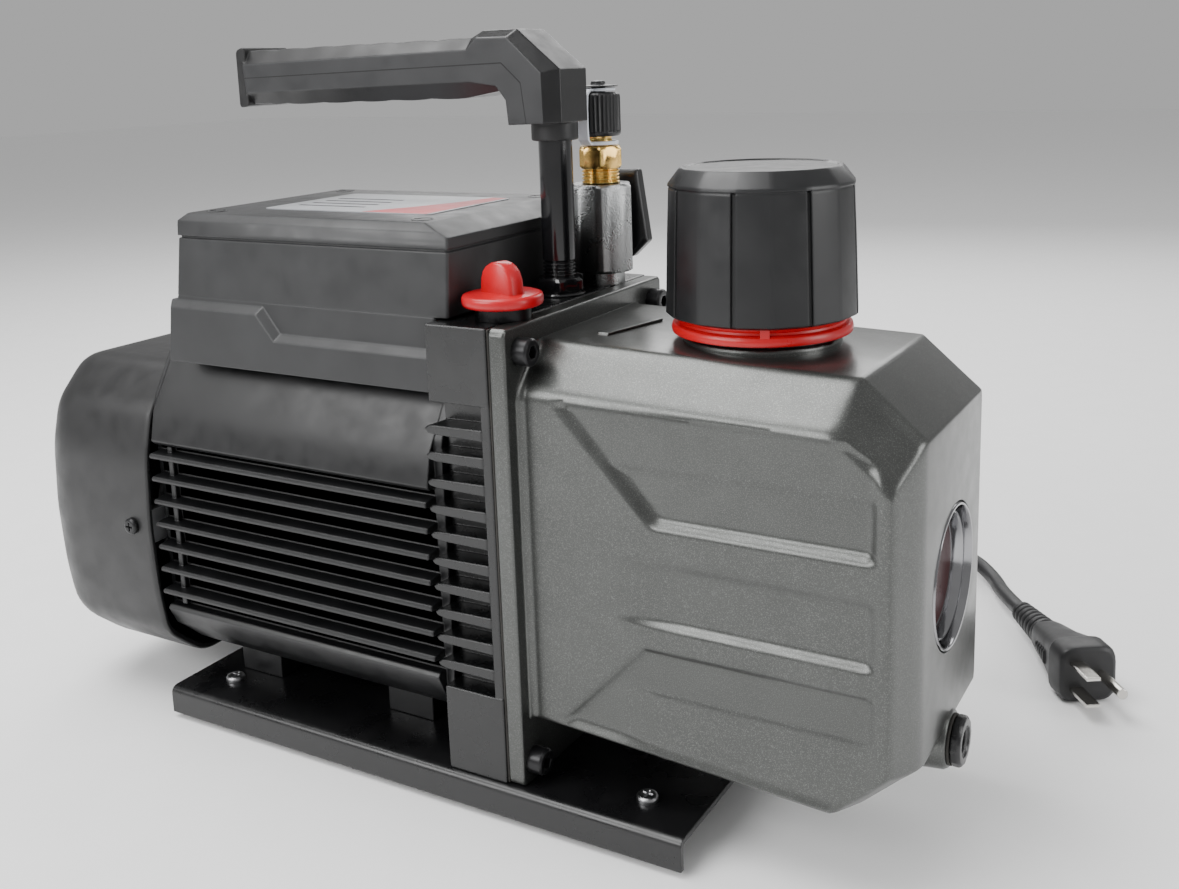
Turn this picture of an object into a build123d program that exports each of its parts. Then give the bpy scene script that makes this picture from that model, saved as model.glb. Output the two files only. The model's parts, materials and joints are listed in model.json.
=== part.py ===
from build123d import *
import math
import os

os.makedirs("parts", exist_ok=True)

# Frame: +X from the motor to the front of the oil case, -Y the side with the
# cover screw, +Z up, Z = 0 the surface that the rubber feet stand on.

# ---------------------------------------------------------------- dimensions
plate_x0 = -182.6
plate_x1 = 85.9
plate_half = 68.2
plate_top = 15.4
plate_sheet = 2.5
plate_lip_bottom = 2.5
plate_bend = 4.0

foot_x = (-159.6, 62.1)
foot_y = 48.9
foot_r = 10.5
foot_screw_r = 2.4
foot_hole_r = 2.7
screw_head_r = 4.4
screw_head_h = 2.6

shaft_z = 94.5
shaft_r = 8.0
fit_gap = 0.05

motor_x0 = -186.0
motor_x1 = -21.4
motor_bore_r = 52.0
motor_core_half = 58.5
fin_half = 66.0
fin_pitch = 11.0
fin_count = 7
fin_top_z = 128.6
fin_thick = 3.0
rib_room = 4.0

cover_x_rear = -262.0
cover_x_bend = -244.0
cover_wall = 2.0

box_z0 = 174.5
box_z1 = 230.3
box_wall = 2.5
lid_top = 240.0

bracket_x0 = motor_x1
bracket_x1 = 6.8
bracket_half = 65.0
bracket_top = 202.8

flange_x0 = 7.6
flange_x1 = 15.0
flange_half = 64.5
case_x2 = 166.5
case_wall = 4.0

cap_x = 91.3
cap_r = 37.1
cap_z0 = 203.6
cap_z1 = 259.6

sight_z = 109.0
sight_r = 27.6

drain_z = 43.5

post_x = -4.5
post_y = 9.0
post_r = 7.1

inlet_x = -0.3
inlet_y = 39.3
hex_af = 25.6
brass_af = 18.2

knob_x = 1.5
knob_y = -44.0
knob_r = 16.0

cord_d = 8.0


def ring_points(radius, count, start=0.0):
    """Points on a circle, as (x, y) pairs."""
    step = 2 * math.pi / count
    return [
        (radius * math.cos(start + i * step), radius * math.sin(start + i * step))
        for i in range(count)
    ]


def both_sides(half_outline):
    """Closes a right-hand half outline by mirroring it to the left."""
    mirrored = [(-y, z) for y, z in reversed(half_outline)]
    return half_outline + mirrored


def yz_plane(x):
    """Sketch plane across the shaft: local x = Y, local y = Z, normal +X."""
    return Plane(origin=(x, 0, 0), x_dir=(0, 1, 0), z_dir=(1, 0, 0))


def xz_plane(y):
    """Side plane: local x = X, local y = Z, normal -Y."""
    return Plane(origin=(0, y, 0), x_dir=(1, 0, 0), z_dir=(0, -1, 0))


def shaft_plane(x):
    """Sketch plane across the shaft, with its origin on the shaft's axis."""
    return Plane(origin=(x, 0, shaft_z), x_dir=(0, 1, 0), z_dir=(1, 0, 0))


# ---------------------------------------------------------------- base plate
plate_rim = [
    (-plate_half, plate_lip_bottom),
    (-plate_half, plate_top),
    (plate_half, plate_top),
    (plate_half, plate_lip_bottom),
    (plate_half - plate_sheet, plate_lip_bottom),
    (plate_half - plate_sheet, plate_top - plate_sheet),
    (-plate_half + plate_sheet, plate_top - plate_sheet),
    (-plate_half + plate_sheet, plate_lip_bottom),
]
foot_spots = [(x, y) for x in foot_x for y in (-foot_y, foot_y)]
bracket_bolt_spots = [(-7.3, -40.0), (-7.3, 40.0)]
motor_foot_spots = [(x, y) for x in (-152.5, -62.5) for y in (-28.0, 28.0)]
bolt_hole_r = 3.1
clamp_bolt_r = 2.5
clamp_bolt_depth = 14.0

with BuildPart() as base_plate:
    with BuildSketch(yz_plane(plate_x0)):
        with BuildLine():
            Polyline(*plate_rim, close=True)
        make_face()
    extrude(amount=plate_x1 - plate_x0)
    outer_bends = [
        e for e in base_plate.edges().filter_by(Axis.X)
        if abs(e.center().Z - plate_top) < 0.01
    ]
    fillet(outer_bends, radius=plate_bend)
    inner_bends = [
        e for e in base_plate.edges().filter_by(Axis.X)
        if abs(e.center().Z - plate_top + plate_sheet) < 0.01
    ]
    fillet(inner_bends, radius=plate_bend - plate_sheet)
    with BuildSketch(Plane.XY.offset(plate_top)):
        with Locations(*foot_spots):
            Circle(foot_hole_r)
        with Locations(*bracket_bolt_spots, *motor_foot_spots):
            Circle(bolt_hole_r)
    extrude(amount=-2 * plate_sheet, mode=Mode.SUBTRACT)
base_plate.part.label = "base_plate"

# ------------------------------------------------------------- rubber feet
foot_top = plate_top - plate_sheet
nut_af = 8.0
nut_h = 4.0
nut_z0 = 4.0

with BuildPart() as rubber_feet:
    with BuildSketch(Plane.XY):
        with Locations(*foot_spots):
            Circle(foot_r)
    extrude(amount=foot_top)
    rim_edges = rubber_feet.edges().filter_by(GeomType.CIRCLE).group_by(Axis.Z)[0]
    chamfer(rim_edges, length=1.2)
    with BuildSketch(Plane.XY):
        with Locations(*foot_spots):
            Circle(nut_af / 2 + 1.0)
    extrude(amount=nut_z0 + nut_h, mode=Mode.SUBTRACT)
    with BuildSketch(Plane.XY):
        with Locations(*foot_spots):
            Circle(foot_screw_r + 0.1)
    extrude(amount=foot_top, mode=Mode.SUBTRACT)
rubber_feet.part.label = "rubber_feet"

with BuildPart() as foot_screws:
    with BuildSketch(Plane.XY.offset(nut_z0 - 1.0)):
        with Locations(*foot_spots):
            Circle(foot_screw_r)
    extrude(amount=plate_top - nut_z0 + 1.0)
    with BuildSketch(Plane.XY.offset(plate_top)):
        with Locations(*foot_spots):
            Circle(screw_head_r)
    extrude(amount=screw_head_h)
    head_edges = foot_screws.edges().filter_by(GeomType.CIRCLE).group_by(Axis.Z)[-1]
    fillet(head_edges, radius=1.4)
    with BuildSketch(Plane.XY.offset(plate_top + screw_head_h)):
        with Locations(*foot_spots):
            Rectangle(4.4, 0.9)
            Rectangle(0.9, 4.4)
    extrude(amount=-1.3, mode=Mode.SUBTRACT)
    with BuildSketch(Plane.XY.offset(nut_z0)):
        with Locations(*foot_spots):
            RegularPolygon(nut_af / 2, 6, major_radius=False)
    extrude(amount=nut_h)
foot_screws.part.label = "foot_screws"

# ----------------------------------------------------------- motor housing
housing_outline = both_sides([
    (46.0, box_z0),
    (61.0, 149.5),
    (64.0, 135.5),
    (motor_core_half, 133.5),
    (motor_core_half, 55.5),
    (64.0, 53.5),
    (60.0, 45.0),
    (44.0, 30.5),
])
pedestal_spans = ((-165.0, -140.0), (-75.0, -50.0))
pedestal_half = 38.0
wire_well = (-140.0, -60.0, 34.0)

with BuildPart() as motor_housing:
    with BuildSketch(yz_plane(motor_x0)):
        with BuildLine():
            Polyline(*housing_outline, close=True)
        make_face()
    extrude(amount=motor_x1 - motor_x0)
    with BuildSketch(yz_plane(motor_x0 + 3.0)):
        for row in range(fin_count):
            fin_z = fin_top_z - row * fin_pitch
            with Locations((0, fin_z)):
                Rectangle(2 * fin_half, fin_thick)
    extrude(amount=motor_x1 - motor_x0 - 8.0)
    for span in pedestal_spans:
        with BuildSketch(Plane.XY.offset(plate_top)):
            with Locations(((span[0] + span[1]) / 2, 0)):
                Rectangle(span[1] - span[0], 2 * pedestal_half)
        extrude(amount=18.0)
    with BuildSketch(Plane.XY.offset(plate_top)):
        with Locations(*motor_foot_spots):
            Circle(clamp_bolt_r)
    extrude(amount=clamp_bolt_depth + 2.0, mode=Mode.SUBTRACT)
    for side in (-1, 1):
        with BuildSketch(yz_plane(motor_x1)):
            with Locations((side * (motor_core_half + 10.0), shaft_z)):
                Rectangle(20.0, 160.0)
        extrude(amount=-rib_room, mode=Mode.SUBTRACT)
    with BuildSketch(shaft_plane(motor_x0)):
        Circle(motor_bore_r)
    extrude(amount=motor_x1 - motor_x0, mode=Mode.SUBTRACT)
    with BuildSketch(Plane.XY.offset(box_z0)):
        with Locations(((wire_well[0] + wire_well[1]) / 2, 0)):
            Rectangle(wire_well[1] - wire_well[0], 2 * wire_well[2])
    extrude(amount=-18.0, mode=Mode.SUBTRACT)
    with BuildSketch(Plane.XY.offset(box_z0)):
        with Locations((-100.0, 0)):
            Circle(7.0)
    extrude(amount=-35.0, mode=Mode.SUBTRACT)
motor_housing.part.label = "motor_housing"

# -------------------------------------------------------- rear end shield
shield_x0 = -193.0
bearing_r = 17.5
bearing_w = 11.0
cover_screw_x = -196.8
cover_screw_z = 93.8
cover_screw_r = 2.0
cover_lug_half = 65.5
cover_lug_root = 52.5
cover_lug_h = 16.0
cover_lug_x = (-202.0, -187.0)

with BuildPart() as rear_end_shield:
    with BuildSketch(shaft_plane(shield_x0)):
        Circle(56.0)
    extrude(amount=motor_x0 - shield_x0)
    with BuildSketch(shaft_plane(motor_x0)):
        Circle(motor_bore_r - fit_gap)
    extrude(amount=4.0)
    with BuildSketch(shaft_plane(shield_x0 - 4.0)):
        Circle(23.0)
    extrude(amount=16.0)
    with BuildSketch(shaft_plane(motor_x0 + 5.0)):
        Circle(bearing_r)
    extrude(amount=-bearing_w - 1.0, mode=Mode.SUBTRACT)
    with BuildSketch(shaft_plane(motor_x0 + 4.0)):
        Circle(44.0)
        Circle(23.0, mode=Mode.SUBTRACT)
    extrude(amount=-6.0, mode=Mode.SUBTRACT)
    with BuildSketch(shaft_plane(shield_x0 - 5.0)):
        Circle(shaft_r + 1.5)
    extrude(amount=20.0, mode=Mode.SUBTRACT)
    with BuildSketch(shaft_plane(shield_x0)):
        with Locations(*ring_points(34.0, 6)):
            Circle(6.0)
    extrude(amount=12.0, mode=Mode.SUBTRACT)
    for side in (-1, 1):
        lug_mid = side * (cover_lug_half + cover_lug_root) / 2
        with BuildSketch(yz_plane(cover_lug_x[0])):
            with Locations((lug_mid, cover_screw_z)):
                Rectangle(cover_lug_half - cover_lug_root, cover_lug_h)
        extrude(amount=cover_lug_x[1] - cover_lug_x[0])
    with BuildSketch(xz_plane(0.0)):
        with Locations((cover_screw_x, cover_screw_z)):
            Circle(cover_screw_r)
    extrude(amount=cover_lug_half, both=True, mode=Mode.SUBTRACT)
rear_end_shield.part.label = "rear_end_shield"

# -------------------------------------------------------------- fan cover
cover_half = [
    (43.0, 167.5),
    (60.5, 149.5),
    (66.3, 127.5),
    (68.4, 94.5),
    (67.0, 62.5),
    (63.8, 39.5),
    (43.5, 21.5),
]


def shrunk(outline, amount):
    """Moves each outline point towards the shaft axis by a fixed distance."""
    result = []
    for y, z in outline:
        reach = math.hypot(y, z - shaft_z)
        scale = (reach - amount) / reach
        result.append((y * scale, shaft_z + (z - shaft_z) * scale))
    return result


cover_ring = both_sides(cover_half)
cover_tail = both_sides([(y * 0.78, shaft_z + (z - shaft_z) * 0.78) for y, z in cover_half])
slot_w = 3.4
slot_rows = 9

with BuildPart() as fan_cover:
    with BuildSketch(yz_plane(motor_x0)):
        with BuildLine():
            Polyline(*cover_ring, close=True)
        make_face()
    extrude(amount=cover_x_bend - motor_x0)
    with BuildSketch(yz_plane(cover_x_bend)):
        with BuildLine():
            Polyline(*cover_ring, close=True)
        make_face()
    with BuildSketch(yz_plane(cover_x_rear)):
        with BuildLine():
            Polyline(*cover_tail, close=True)
        make_face()
    loft(ruled=True)
    with BuildSketch(yz_plane(motor_x0 + 1.0)):
        with BuildLine():
            Polyline(*shrunk(cover_ring, 2.3), close=True)
        make_face()
    extrude(amount=cover_x_bend - motor_x0 - 1.0, mode=Mode.SUBTRACT)
    with BuildSketch(yz_plane(cover_x_bend + 0.5)):
        with BuildLine():
            Polyline(*shrunk(cover_ring, 3.0), close=True)
        make_face()
    with BuildSketch(yz_plane(cover_x_rear + cover_wall)):
        with BuildLine():
            Polyline(*shrunk(cover_tail, 3.0), close=True)
        make_face()
    loft(ruled=True, mode=Mode.SUBTRACT)
    with BuildSketch(shaft_plane(cover_x_rear)):
        for row in range(slot_rows):
            rise = (row - (slot_rows - 1) / 2) * 2.3 * slot_w
            reach = math.sqrt(39.0 ** 2 - rise ** 2)
            for side in (-1, 1):
                with Locations((side * (reach / 2 + 2.0), rise)):
                    SlotOverall(reach - 4.0, slot_w)
    extrude(amount=2 * cover_wall, mode=Mode.SUBTRACT)
    with BuildSketch(xz_plane(0.0)):
        with Locations((cover_screw_x, cover_screw_z)):
            Circle(cover_screw_r + 0.2)
    extrude(amount=80.0, both=True, mode=Mode.SUBTRACT)
fan_cover.part.label = "fan_cover"

cover_side_y = 68.45

with BuildPart() as fan_cover_screws:
    for side in (-1, 1):
        seat = Plane(
            origin=(cover_screw_x, side * cover_side_y, cover_screw_z),
            x_dir=(1, 0, 0),
            z_dir=(0, side, 0),
        )
        with BuildSketch(seat):
            Circle(cover_screw_r)
        extrude(amount=-12.0)
        with BuildSketch(seat):
            Circle(3.9)
        extrude(amount=2.2)
    rims = [
        e for e in fan_cover_screws.edges().filter_by(GeomType.CIRCLE)
        if abs(e.center().Y) > cover_side_y + 2.0
    ]
    fillet(rims, radius=1.2)
    for side in (-1, 1):
        slot = Plane(
            origin=(cover_screw_x, side * (cover_side_y + 2.2), cover_screw_z),
            x_dir=(1, 0, 0),
            z_dir=(0, side, 0),
        )
        with BuildSketch(slot):
            Rectangle(4.2, 0.9)
            Rectangle(0.9, 4.2)
        extrude(amount=-1.2, mode=Mode.SUBTRACT)
fan_cover_screws.part.label = "fan_cover_screws"

# ------------------------------------------------------- rotating assembly
fan_x0 = -238.0
fan_x1 = -214.0
fan_hub_r = 15.0
fan_r = 50.0
fan_blades = 9
shaft_x0 = -241.0
shaft_x1 = -1.5

with BuildPart() as cooling_fan:
    with BuildSketch(shaft_plane(fan_x0)):
        Circle(fan_hub_r)
        Circle(shaft_r, mode=Mode.SUBTRACT)
    extrude(amount=fan_x1 - fan_x0)
    with BuildSketch(shaft_plane(fan_x1 - 3.0)):
        Circle(fan_r - 8.0)
        Circle(shaft_r, mode=Mode.SUBTRACT)
    extrude(amount=2.0)
    with BuildSketch(shaft_plane(fan_x0)):
        with PolarLocations((fan_hub_r + fan_r) / 2, fan_blades):
            Rectangle(fan_r - fan_hub_r + 1.0, 2.0)
    extrude(amount=fan_x1 - fan_x0 - 1.0)
cooling_fan.part.label = "cooling_fan"

with BuildPart() as motor_shaft:
    with BuildSketch(shaft_plane(shaft_x0)):
        Circle(shaft_r)
    extrude(amount=shaft_x1 - shaft_x0)
    shaft_ends = motor_shaft.edges().filter_by(GeomType.CIRCLE)
    chamfer(shaft_ends, length=1.0)
motor_shaft.part.label = "motor_shaft"

core_x0 = -150.0
core_x1 = -62.0
rotor_core_r = 31.5
stator_bore_r = 32.0

with BuildPart() as motor_rotor:
    with BuildSketch(shaft_plane(core_x0)):
        Circle(rotor_core_r)
        Circle(shaft_r, mode=Mode.SUBTRACT)
    extrude(amount=core_x1 - core_x0)
    with BuildSketch(shaft_plane(core_x0 - 6.0)):
        Circle(rotor_core_r - 2.0)
        Circle(rotor_core_r - 10.0, mode=Mode.SUBTRACT)
    extrude(amount=core_x1 - core_x0 + 12.0)
motor_rotor.part.label = "motor_rotor"

with BuildPart() as stator_core:
    with BuildSketch(shaft_plane(core_x0)):
        Circle(motor_bore_r - fit_gap)
        Circle(stator_bore_r, mode=Mode.SUBTRACT)
    extrude(amount=core_x1 - core_x0)
stator_core.part.label = "stator_core"

winding_reach = 19.0
winding_out_r = 49.5
winding_in_r = 33.5

with BuildPart() as stator_windings:
    with BuildSketch(shaft_plane(core_x0 - winding_reach)):
        Circle(winding_out_r)
        Circle(winding_in_r, mode=Mode.SUBTRACT)
    extrude(amount=winding_reach)
    with BuildSketch(shaft_plane(core_x1)):
        Circle(winding_out_r)
        Circle(winding_in_r, mode=Mode.SUBTRACT)
    extrude(amount=winding_reach)
    winding_ends = [
        e for e in stator_windings.edges().filter_by(GeomType.CIRCLE)
        if e.center().X < core_x0 - 1.0 or e.center().X > core_x1 + 1.0
    ]
    fillet(winding_ends, radius=5.0)
stator_windings.part.label = "stator_windings"

rear_bearing_x = -192.0
front_bearing_x = bracket_x0
bearing_spans = (rear_bearing_x, front_bearing_x)

with BuildPart() as motor_bearings:
    for bearing_x in bearing_spans:
        with BuildSketch(shaft_plane(bearing_x)):
            Circle(bearing_r)
            Circle(shaft_r + fit_gap, mode=Mode.SUBTRACT)
        extrude(amount=bearing_w)
        with BuildSketch(shaft_plane(bearing_x)):
            Circle(bearing_r - 3.0)
            Circle(shaft_r + 3.0, mode=Mode.SUBTRACT)
        extrude(amount=1.2, mode=Mode.SUBTRACT)
motor_bearings.part.label = "motor_bearings"

# ------------------------------------------------------------ terminal box
box_top = (-163.0, -15.8, 54.7)
box_foot = (-167.0, -15.8, 59.5)
skirt_foot = (-170.0, -20.0, 62.5)
skirt_peak = (-168.0, -20.0, 60.6)
skirt_z_high = 201.8
skirt_z_low = 190.9
skirt_step = (-113.0, -103.0)
box_notch_x = -21.8
box_notch_z = 203.4
pad_x = (-146.0, -40.0)
pad_z = (178.0, 228.0)
pad_y = 62.5

gland_x = -128.0
gland_z = 192.0
gland_r = 7.0
switch_x = -80.0
switch_z = 209.0
switch_w = 28.0
switch_h = 21.5


def footprint(x_span):
    """Centre x, length along X, width along Y of a box section."""
    return (x_span[0] + x_span[1]) / 2, x_span[1] - x_span[0], 2 * x_span[2]


with BuildPart() as terminal_box:
    for outline, level in ((skirt_foot, box_z0), (skirt_peak, skirt_z_high)):
        mid, length, width = footprint(outline)
        with BuildSketch(Plane.XY.offset(level)):
            with Locations((mid, 0)):
                RectangleRounded(length, width, 3.0)
    loft(ruled=True)
    with BuildSketch(xz_plane(0.0)):
        with BuildLine():
            Polyline(
                (skirt_step[0], skirt_z_high + 1.0),
                (skirt_step[0], skirt_z_high),
                (skirt_step[1], skirt_z_low),
                (0.0, skirt_z_low),
                (0.0, skirt_z_high + 1.0),
                close=True,
            )
        make_face()
    extrude(amount=80.0, both=True, mode=Mode.SUBTRACT)
    for outline, level in ((box_foot, box_z0), (box_top, box_z1)):
        mid, length, width = footprint(outline)
        with BuildSketch(Plane.XY.offset(level)):
            with Locations((mid, 0)):
                RectangleRounded(length, width, 4.0)
    loft(ruled=True)
    with BuildSketch(xz_plane(pad_y)):
        with Locations(((pad_x[0] + pad_x[1]) / 2, (pad_z[0] + pad_z[1]) / 2)):
            RectangleRounded(pad_x[1] - pad_x[0], pad_z[1] - pad_z[0], 3.0)
    extrude(amount=pad_y - 50.0)
    with BuildSketch(Plane.XY.offset(box_z0)):
        with Locations((box_notch_x + 20.0, 0)):
            Rectangle(40.0, 140.0)
    extrude(amount=box_notch_z - box_z0, mode=Mode.SUBTRACT)
    with BuildSketch(Plane.XY.offset(box_z0 + box_wall)):
        with Locations((-94.0, 0)):
            Rectangle(139.0, 112.0)
    extrude(amount=206.0 - box_z0 - box_wall, mode=Mode.SUBTRACT)
    with BuildSketch(Plane.XY.offset(206.0)):
        with Locations((-89.2, 0)):
            Rectangle(142.6, 104.4)
    extrude(amount=box_z1 - 206.0, mode=Mode.SUBTRACT)
    with BuildSketch(Plane.XY.offset(box_z0)):
        with Locations((-100.0, 0)):
            Circle(7.0)
    extrude(amount=box_wall, mode=Mode.SUBTRACT)
    with BuildSketch(xz_plane(pad_y)):
        with Locations((gland_x, gland_z)):
            Circle(gland_r)
        with Locations((switch_x, switch_z)):
            Rectangle(switch_w, switch_h)
    extrude(amount=20.0, mode=Mode.SUBTRACT)
terminal_box.part.label = "terminal_box"

lid_half = box_top[2]
lid_x0 = box_top[0]
lid_x1 = box_top[1]
lid_side = [
    (lid_x0, box_z1),
    (lid_x0, lid_top - 3.0),
    (lid_x0 + 4.0, lid_top),
    (lid_x1 - 13.0, lid_top),
    (lid_x1, box_z1 + 4.5),
    (lid_x1, box_z1),
]
lid_screw_spots = [(x, y) for x in (-150.0, -33.0) for y in (-44.0, 44.0)]

with BuildPart() as terminal_box_lid:
    with BuildSketch(xz_plane(lid_half)):
        with BuildLine():
            Polyline(*lid_side, close=True)
        make_face()
    extrude(amount=2 * lid_half)
    top_sides = [
        e for e in terminal_box_lid.edges().filter_by(Axis.X)
        if abs(e.center().Z - lid_top) < 0.01
    ]
    chamfer(top_sides, length=3.0, length2=5.0)
    with BuildSketch(Plane.XY.offset(box_z1)):
        with Locations((-89.2, 0)):
            Rectangle(136.0, 98.0)
    extrude(amount=4.0, mode=Mode.SUBTRACT)
    with BuildSketch(Plane.XY.offset(lid_top)):
        with Locations(*lid_screw_spots):
            Circle(4.2)
    extrude(amount=-2.5, mode=Mode.SUBTRACT)
    with BuildSketch(Plane.XY.offset(lid_top)):
        with Locations(*lid_screw_spots):
            Circle(1.9)
    extrude(amount=-12.0, mode=Mode.SUBTRACT)
terminal_box_lid.part.label = "terminal_box_lid"

with BuildPart() as lid_screws:
    with BuildSketch(Plane.XY.offset(lid_top - 2.5)):
        with Locations(*lid_screw_spots):
            Circle(3.6)
    extrude(amount=2.0)
    with BuildSketch(Plane.XY.offset(lid_top - 2.5)):
        with Locations(*lid_screw_spots):
            Circle(1.8)
    extrude(amount=-6.0)
    with BuildSketch(Plane.XY.offset(lid_top - 0.5)):
        with Locations(*lid_screw_spots):
            Rectangle(4.0, 0.9)
            Rectangle(0.9, 4.0)
    extrude(amount=-1.2, mode=Mode.SUBTRACT)
lid_screws.part.label = "lid_screws"

with BuildPart() as rating_plate:
    with BuildSketch(Plane.XY.offset(lid_top)):
        with Locations((-88.0, 0)):
            RectangleRounded(92.0, 62.0, 4.0)
    extrude(amount=0.4)
rating_plate.part.label = "rating_plate"

# ------------------------------------------------------ electrical pieces
capacitor_r = 17.5
capacitor_z = box_z0 + box_wall + capacitor_r + 0.5
capacitor_y = -30.0
capacitor_x = (-145.0, -70.0)

with BuildPart() as run_capacitor:
    with BuildSketch(Plane(origin=(capacitor_x[0], capacitor_y, capacitor_z), z_dir=(1, 0, 0))):
        Circle(capacitor_r)
    extrude(amount=capacitor_x[1] - capacitor_x[0])
    fillet(run_capacitor.edges().filter_by(GeomType.CIRCLE), radius=2.0)
    with BuildSketch(Plane(origin=(capacitor_x[1], capacitor_y, capacitor_z), x_dir=(0, 1, 0), z_dir=(1, 0, 0))):
        with Locations((-5.0, 0), (5.0, 0)):
            Rectangle(0.8, 6.3)
    extrude(amount=8.0)
run_capacitor.part.label = "run_capacitor"

block_x = -52.0
block_y = -20.0

with BuildPart() as terminal_block:
    with BuildSketch(Plane.XY.offset(box_z0 + box_wall)):
        with Locations((block_x, block_y)):
            Rectangle(22.0, 44.0)
    extrude(amount=14.0)
    for row in range(4):
        with BuildSketch(Plane.XY.offset(box_z0 + box_wall + 14.0)):
            with Locations((block_x, block_y - 16.5 + 11.0 * row)):
                Rectangle(22.0, 8.0)
        extrude(amount=-5.0, mode=Mode.SUBTRACT)
        with BuildSketch(Plane.XY.offset(box_z0 + box_wall + 9.0)):
            with Locations((block_x, block_y - 16.5 + 11.0 * row)):
                Circle(2.8)
        extrude(amount=2.5)
terminal_block.part.label = "terminal_block"

bezel_edge = 2.5
rocker_gap = 0.35
rocker_w = 21.0
rocker_h = 13.0

with BuildPart() as switch_housing:
    with BuildSketch(xz_plane(pad_y)):
        with Locations((switch_x, switch_z)):
            Rectangle(switch_w - 0.2, switch_h - 0.2)
    extrude(amount=18.0)
    with BuildSketch(xz_plane(pad_y + 2.0)):
        with Locations((switch_x, switch_z)):
            RectangleRounded(switch_w + 2 * bezel_edge, switch_h + 2 * bezel_edge, 2.0)
    extrude(amount=2.0)
    with BuildSketch(xz_plane(pad_y + 2.0)):
        with Locations((switch_x, switch_z)):
            Rectangle(rocker_w + 2 * rocker_gap, rocker_h + 2 * rocker_gap)
    extrude(amount=12.0, mode=Mode.SUBTRACT)
switch_housing.part.label = "switch_housing"

rocker_pivot_y = pad_y - 3.5

rocker_tilt = math.radians(9.0)
rocker_section = [
    (-3.0, -4.0),
    (2.5, -6.0),
    (7.2, -5.9),
    (6.0, 0.0),
    (7.2, 5.9),
    (2.5, 6.0),
    (-3.0, 4.0),
]
rocker_plane = Plane(
    origin=(switch_x, rocker_pivot_y, switch_z),
    x_dir=(0, math.cos(rocker_tilt), -math.sin(rocker_tilt)),
    z_dir=(1, 0, 0),
)

with BuildPart() as switch_rocker:
    with BuildSketch(rocker_plane):
        with BuildLine():
            Polyline(*rocker_section, close=True)
        make_face()
    extrude(amount=rocker_w / 2, both=True)
switch_rocker.part.label = "switch_rocker"

relief_len = 34.0
gland_flange = 10.0

with BuildPart() as cord_gland:
    with BuildSketch(xz_plane(pad_y)):
        with Locations((gland_x, gland_z)):
            Circle(gland_r - fit_gap)
    extrude(amount=6.0)
    with BuildSketch(xz_plane(pad_y)):
        with Locations((gland_x, gland_z)):
            Circle(gland_flange)
    extrude(amount=-3.0)
    with BuildSketch(xz_plane(pad_y + 3.0)):
        with Locations((gland_x, gland_z)):
            Circle(7.4)
    with BuildSketch(xz_plane(pad_y + relief_len)):
        with Locations((gland_x, gland_z)):
            Circle(cord_d / 2 + 1.0)
    loft()
    with BuildSketch(xz_plane(pad_y + relief_len)):
        with Locations((gland_x, gland_z)):
            Circle(cord_d / 2)
    extrude(amount=3.0, mode=Mode.SUBTRACT)
cord_gland.part.label = "cord_gland"

# -------------------------------------------------------------- pump bracket
bracket_core_half = 55.0
rib_z0 = 52.0
rib_z1 = 172.0
rib_pitch = 11.0
rib_thick = 4.2
rib_count = 10
rib_first_z = 160.5
rib_reach = 3.4
rib_tip_mid = 62.0
rib_tip_len = 6.0
tunnel_r = 30.0
tunnel_x0 = -9.0
bolt_top = (54.8, 192.9)
bolt_low = (57.0, 24.8)
flange_bolt_r = 3.0
flange_bolt_head_r = 5.5
flange_bolt_spots = [(s * y, z) for y, z in (bolt_top, bolt_low) for s in (-1, 1)]
bracket_screw_depth = 16.0
inlet_bore_r = 4.5
spigot_r = 6.2
spigot_depth = 16.0
spigot_len = 13.0
pump_bolt_spots = ring_points(35.0, 4, math.pi / 4)
pump_bolt_r = 2.5

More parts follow.
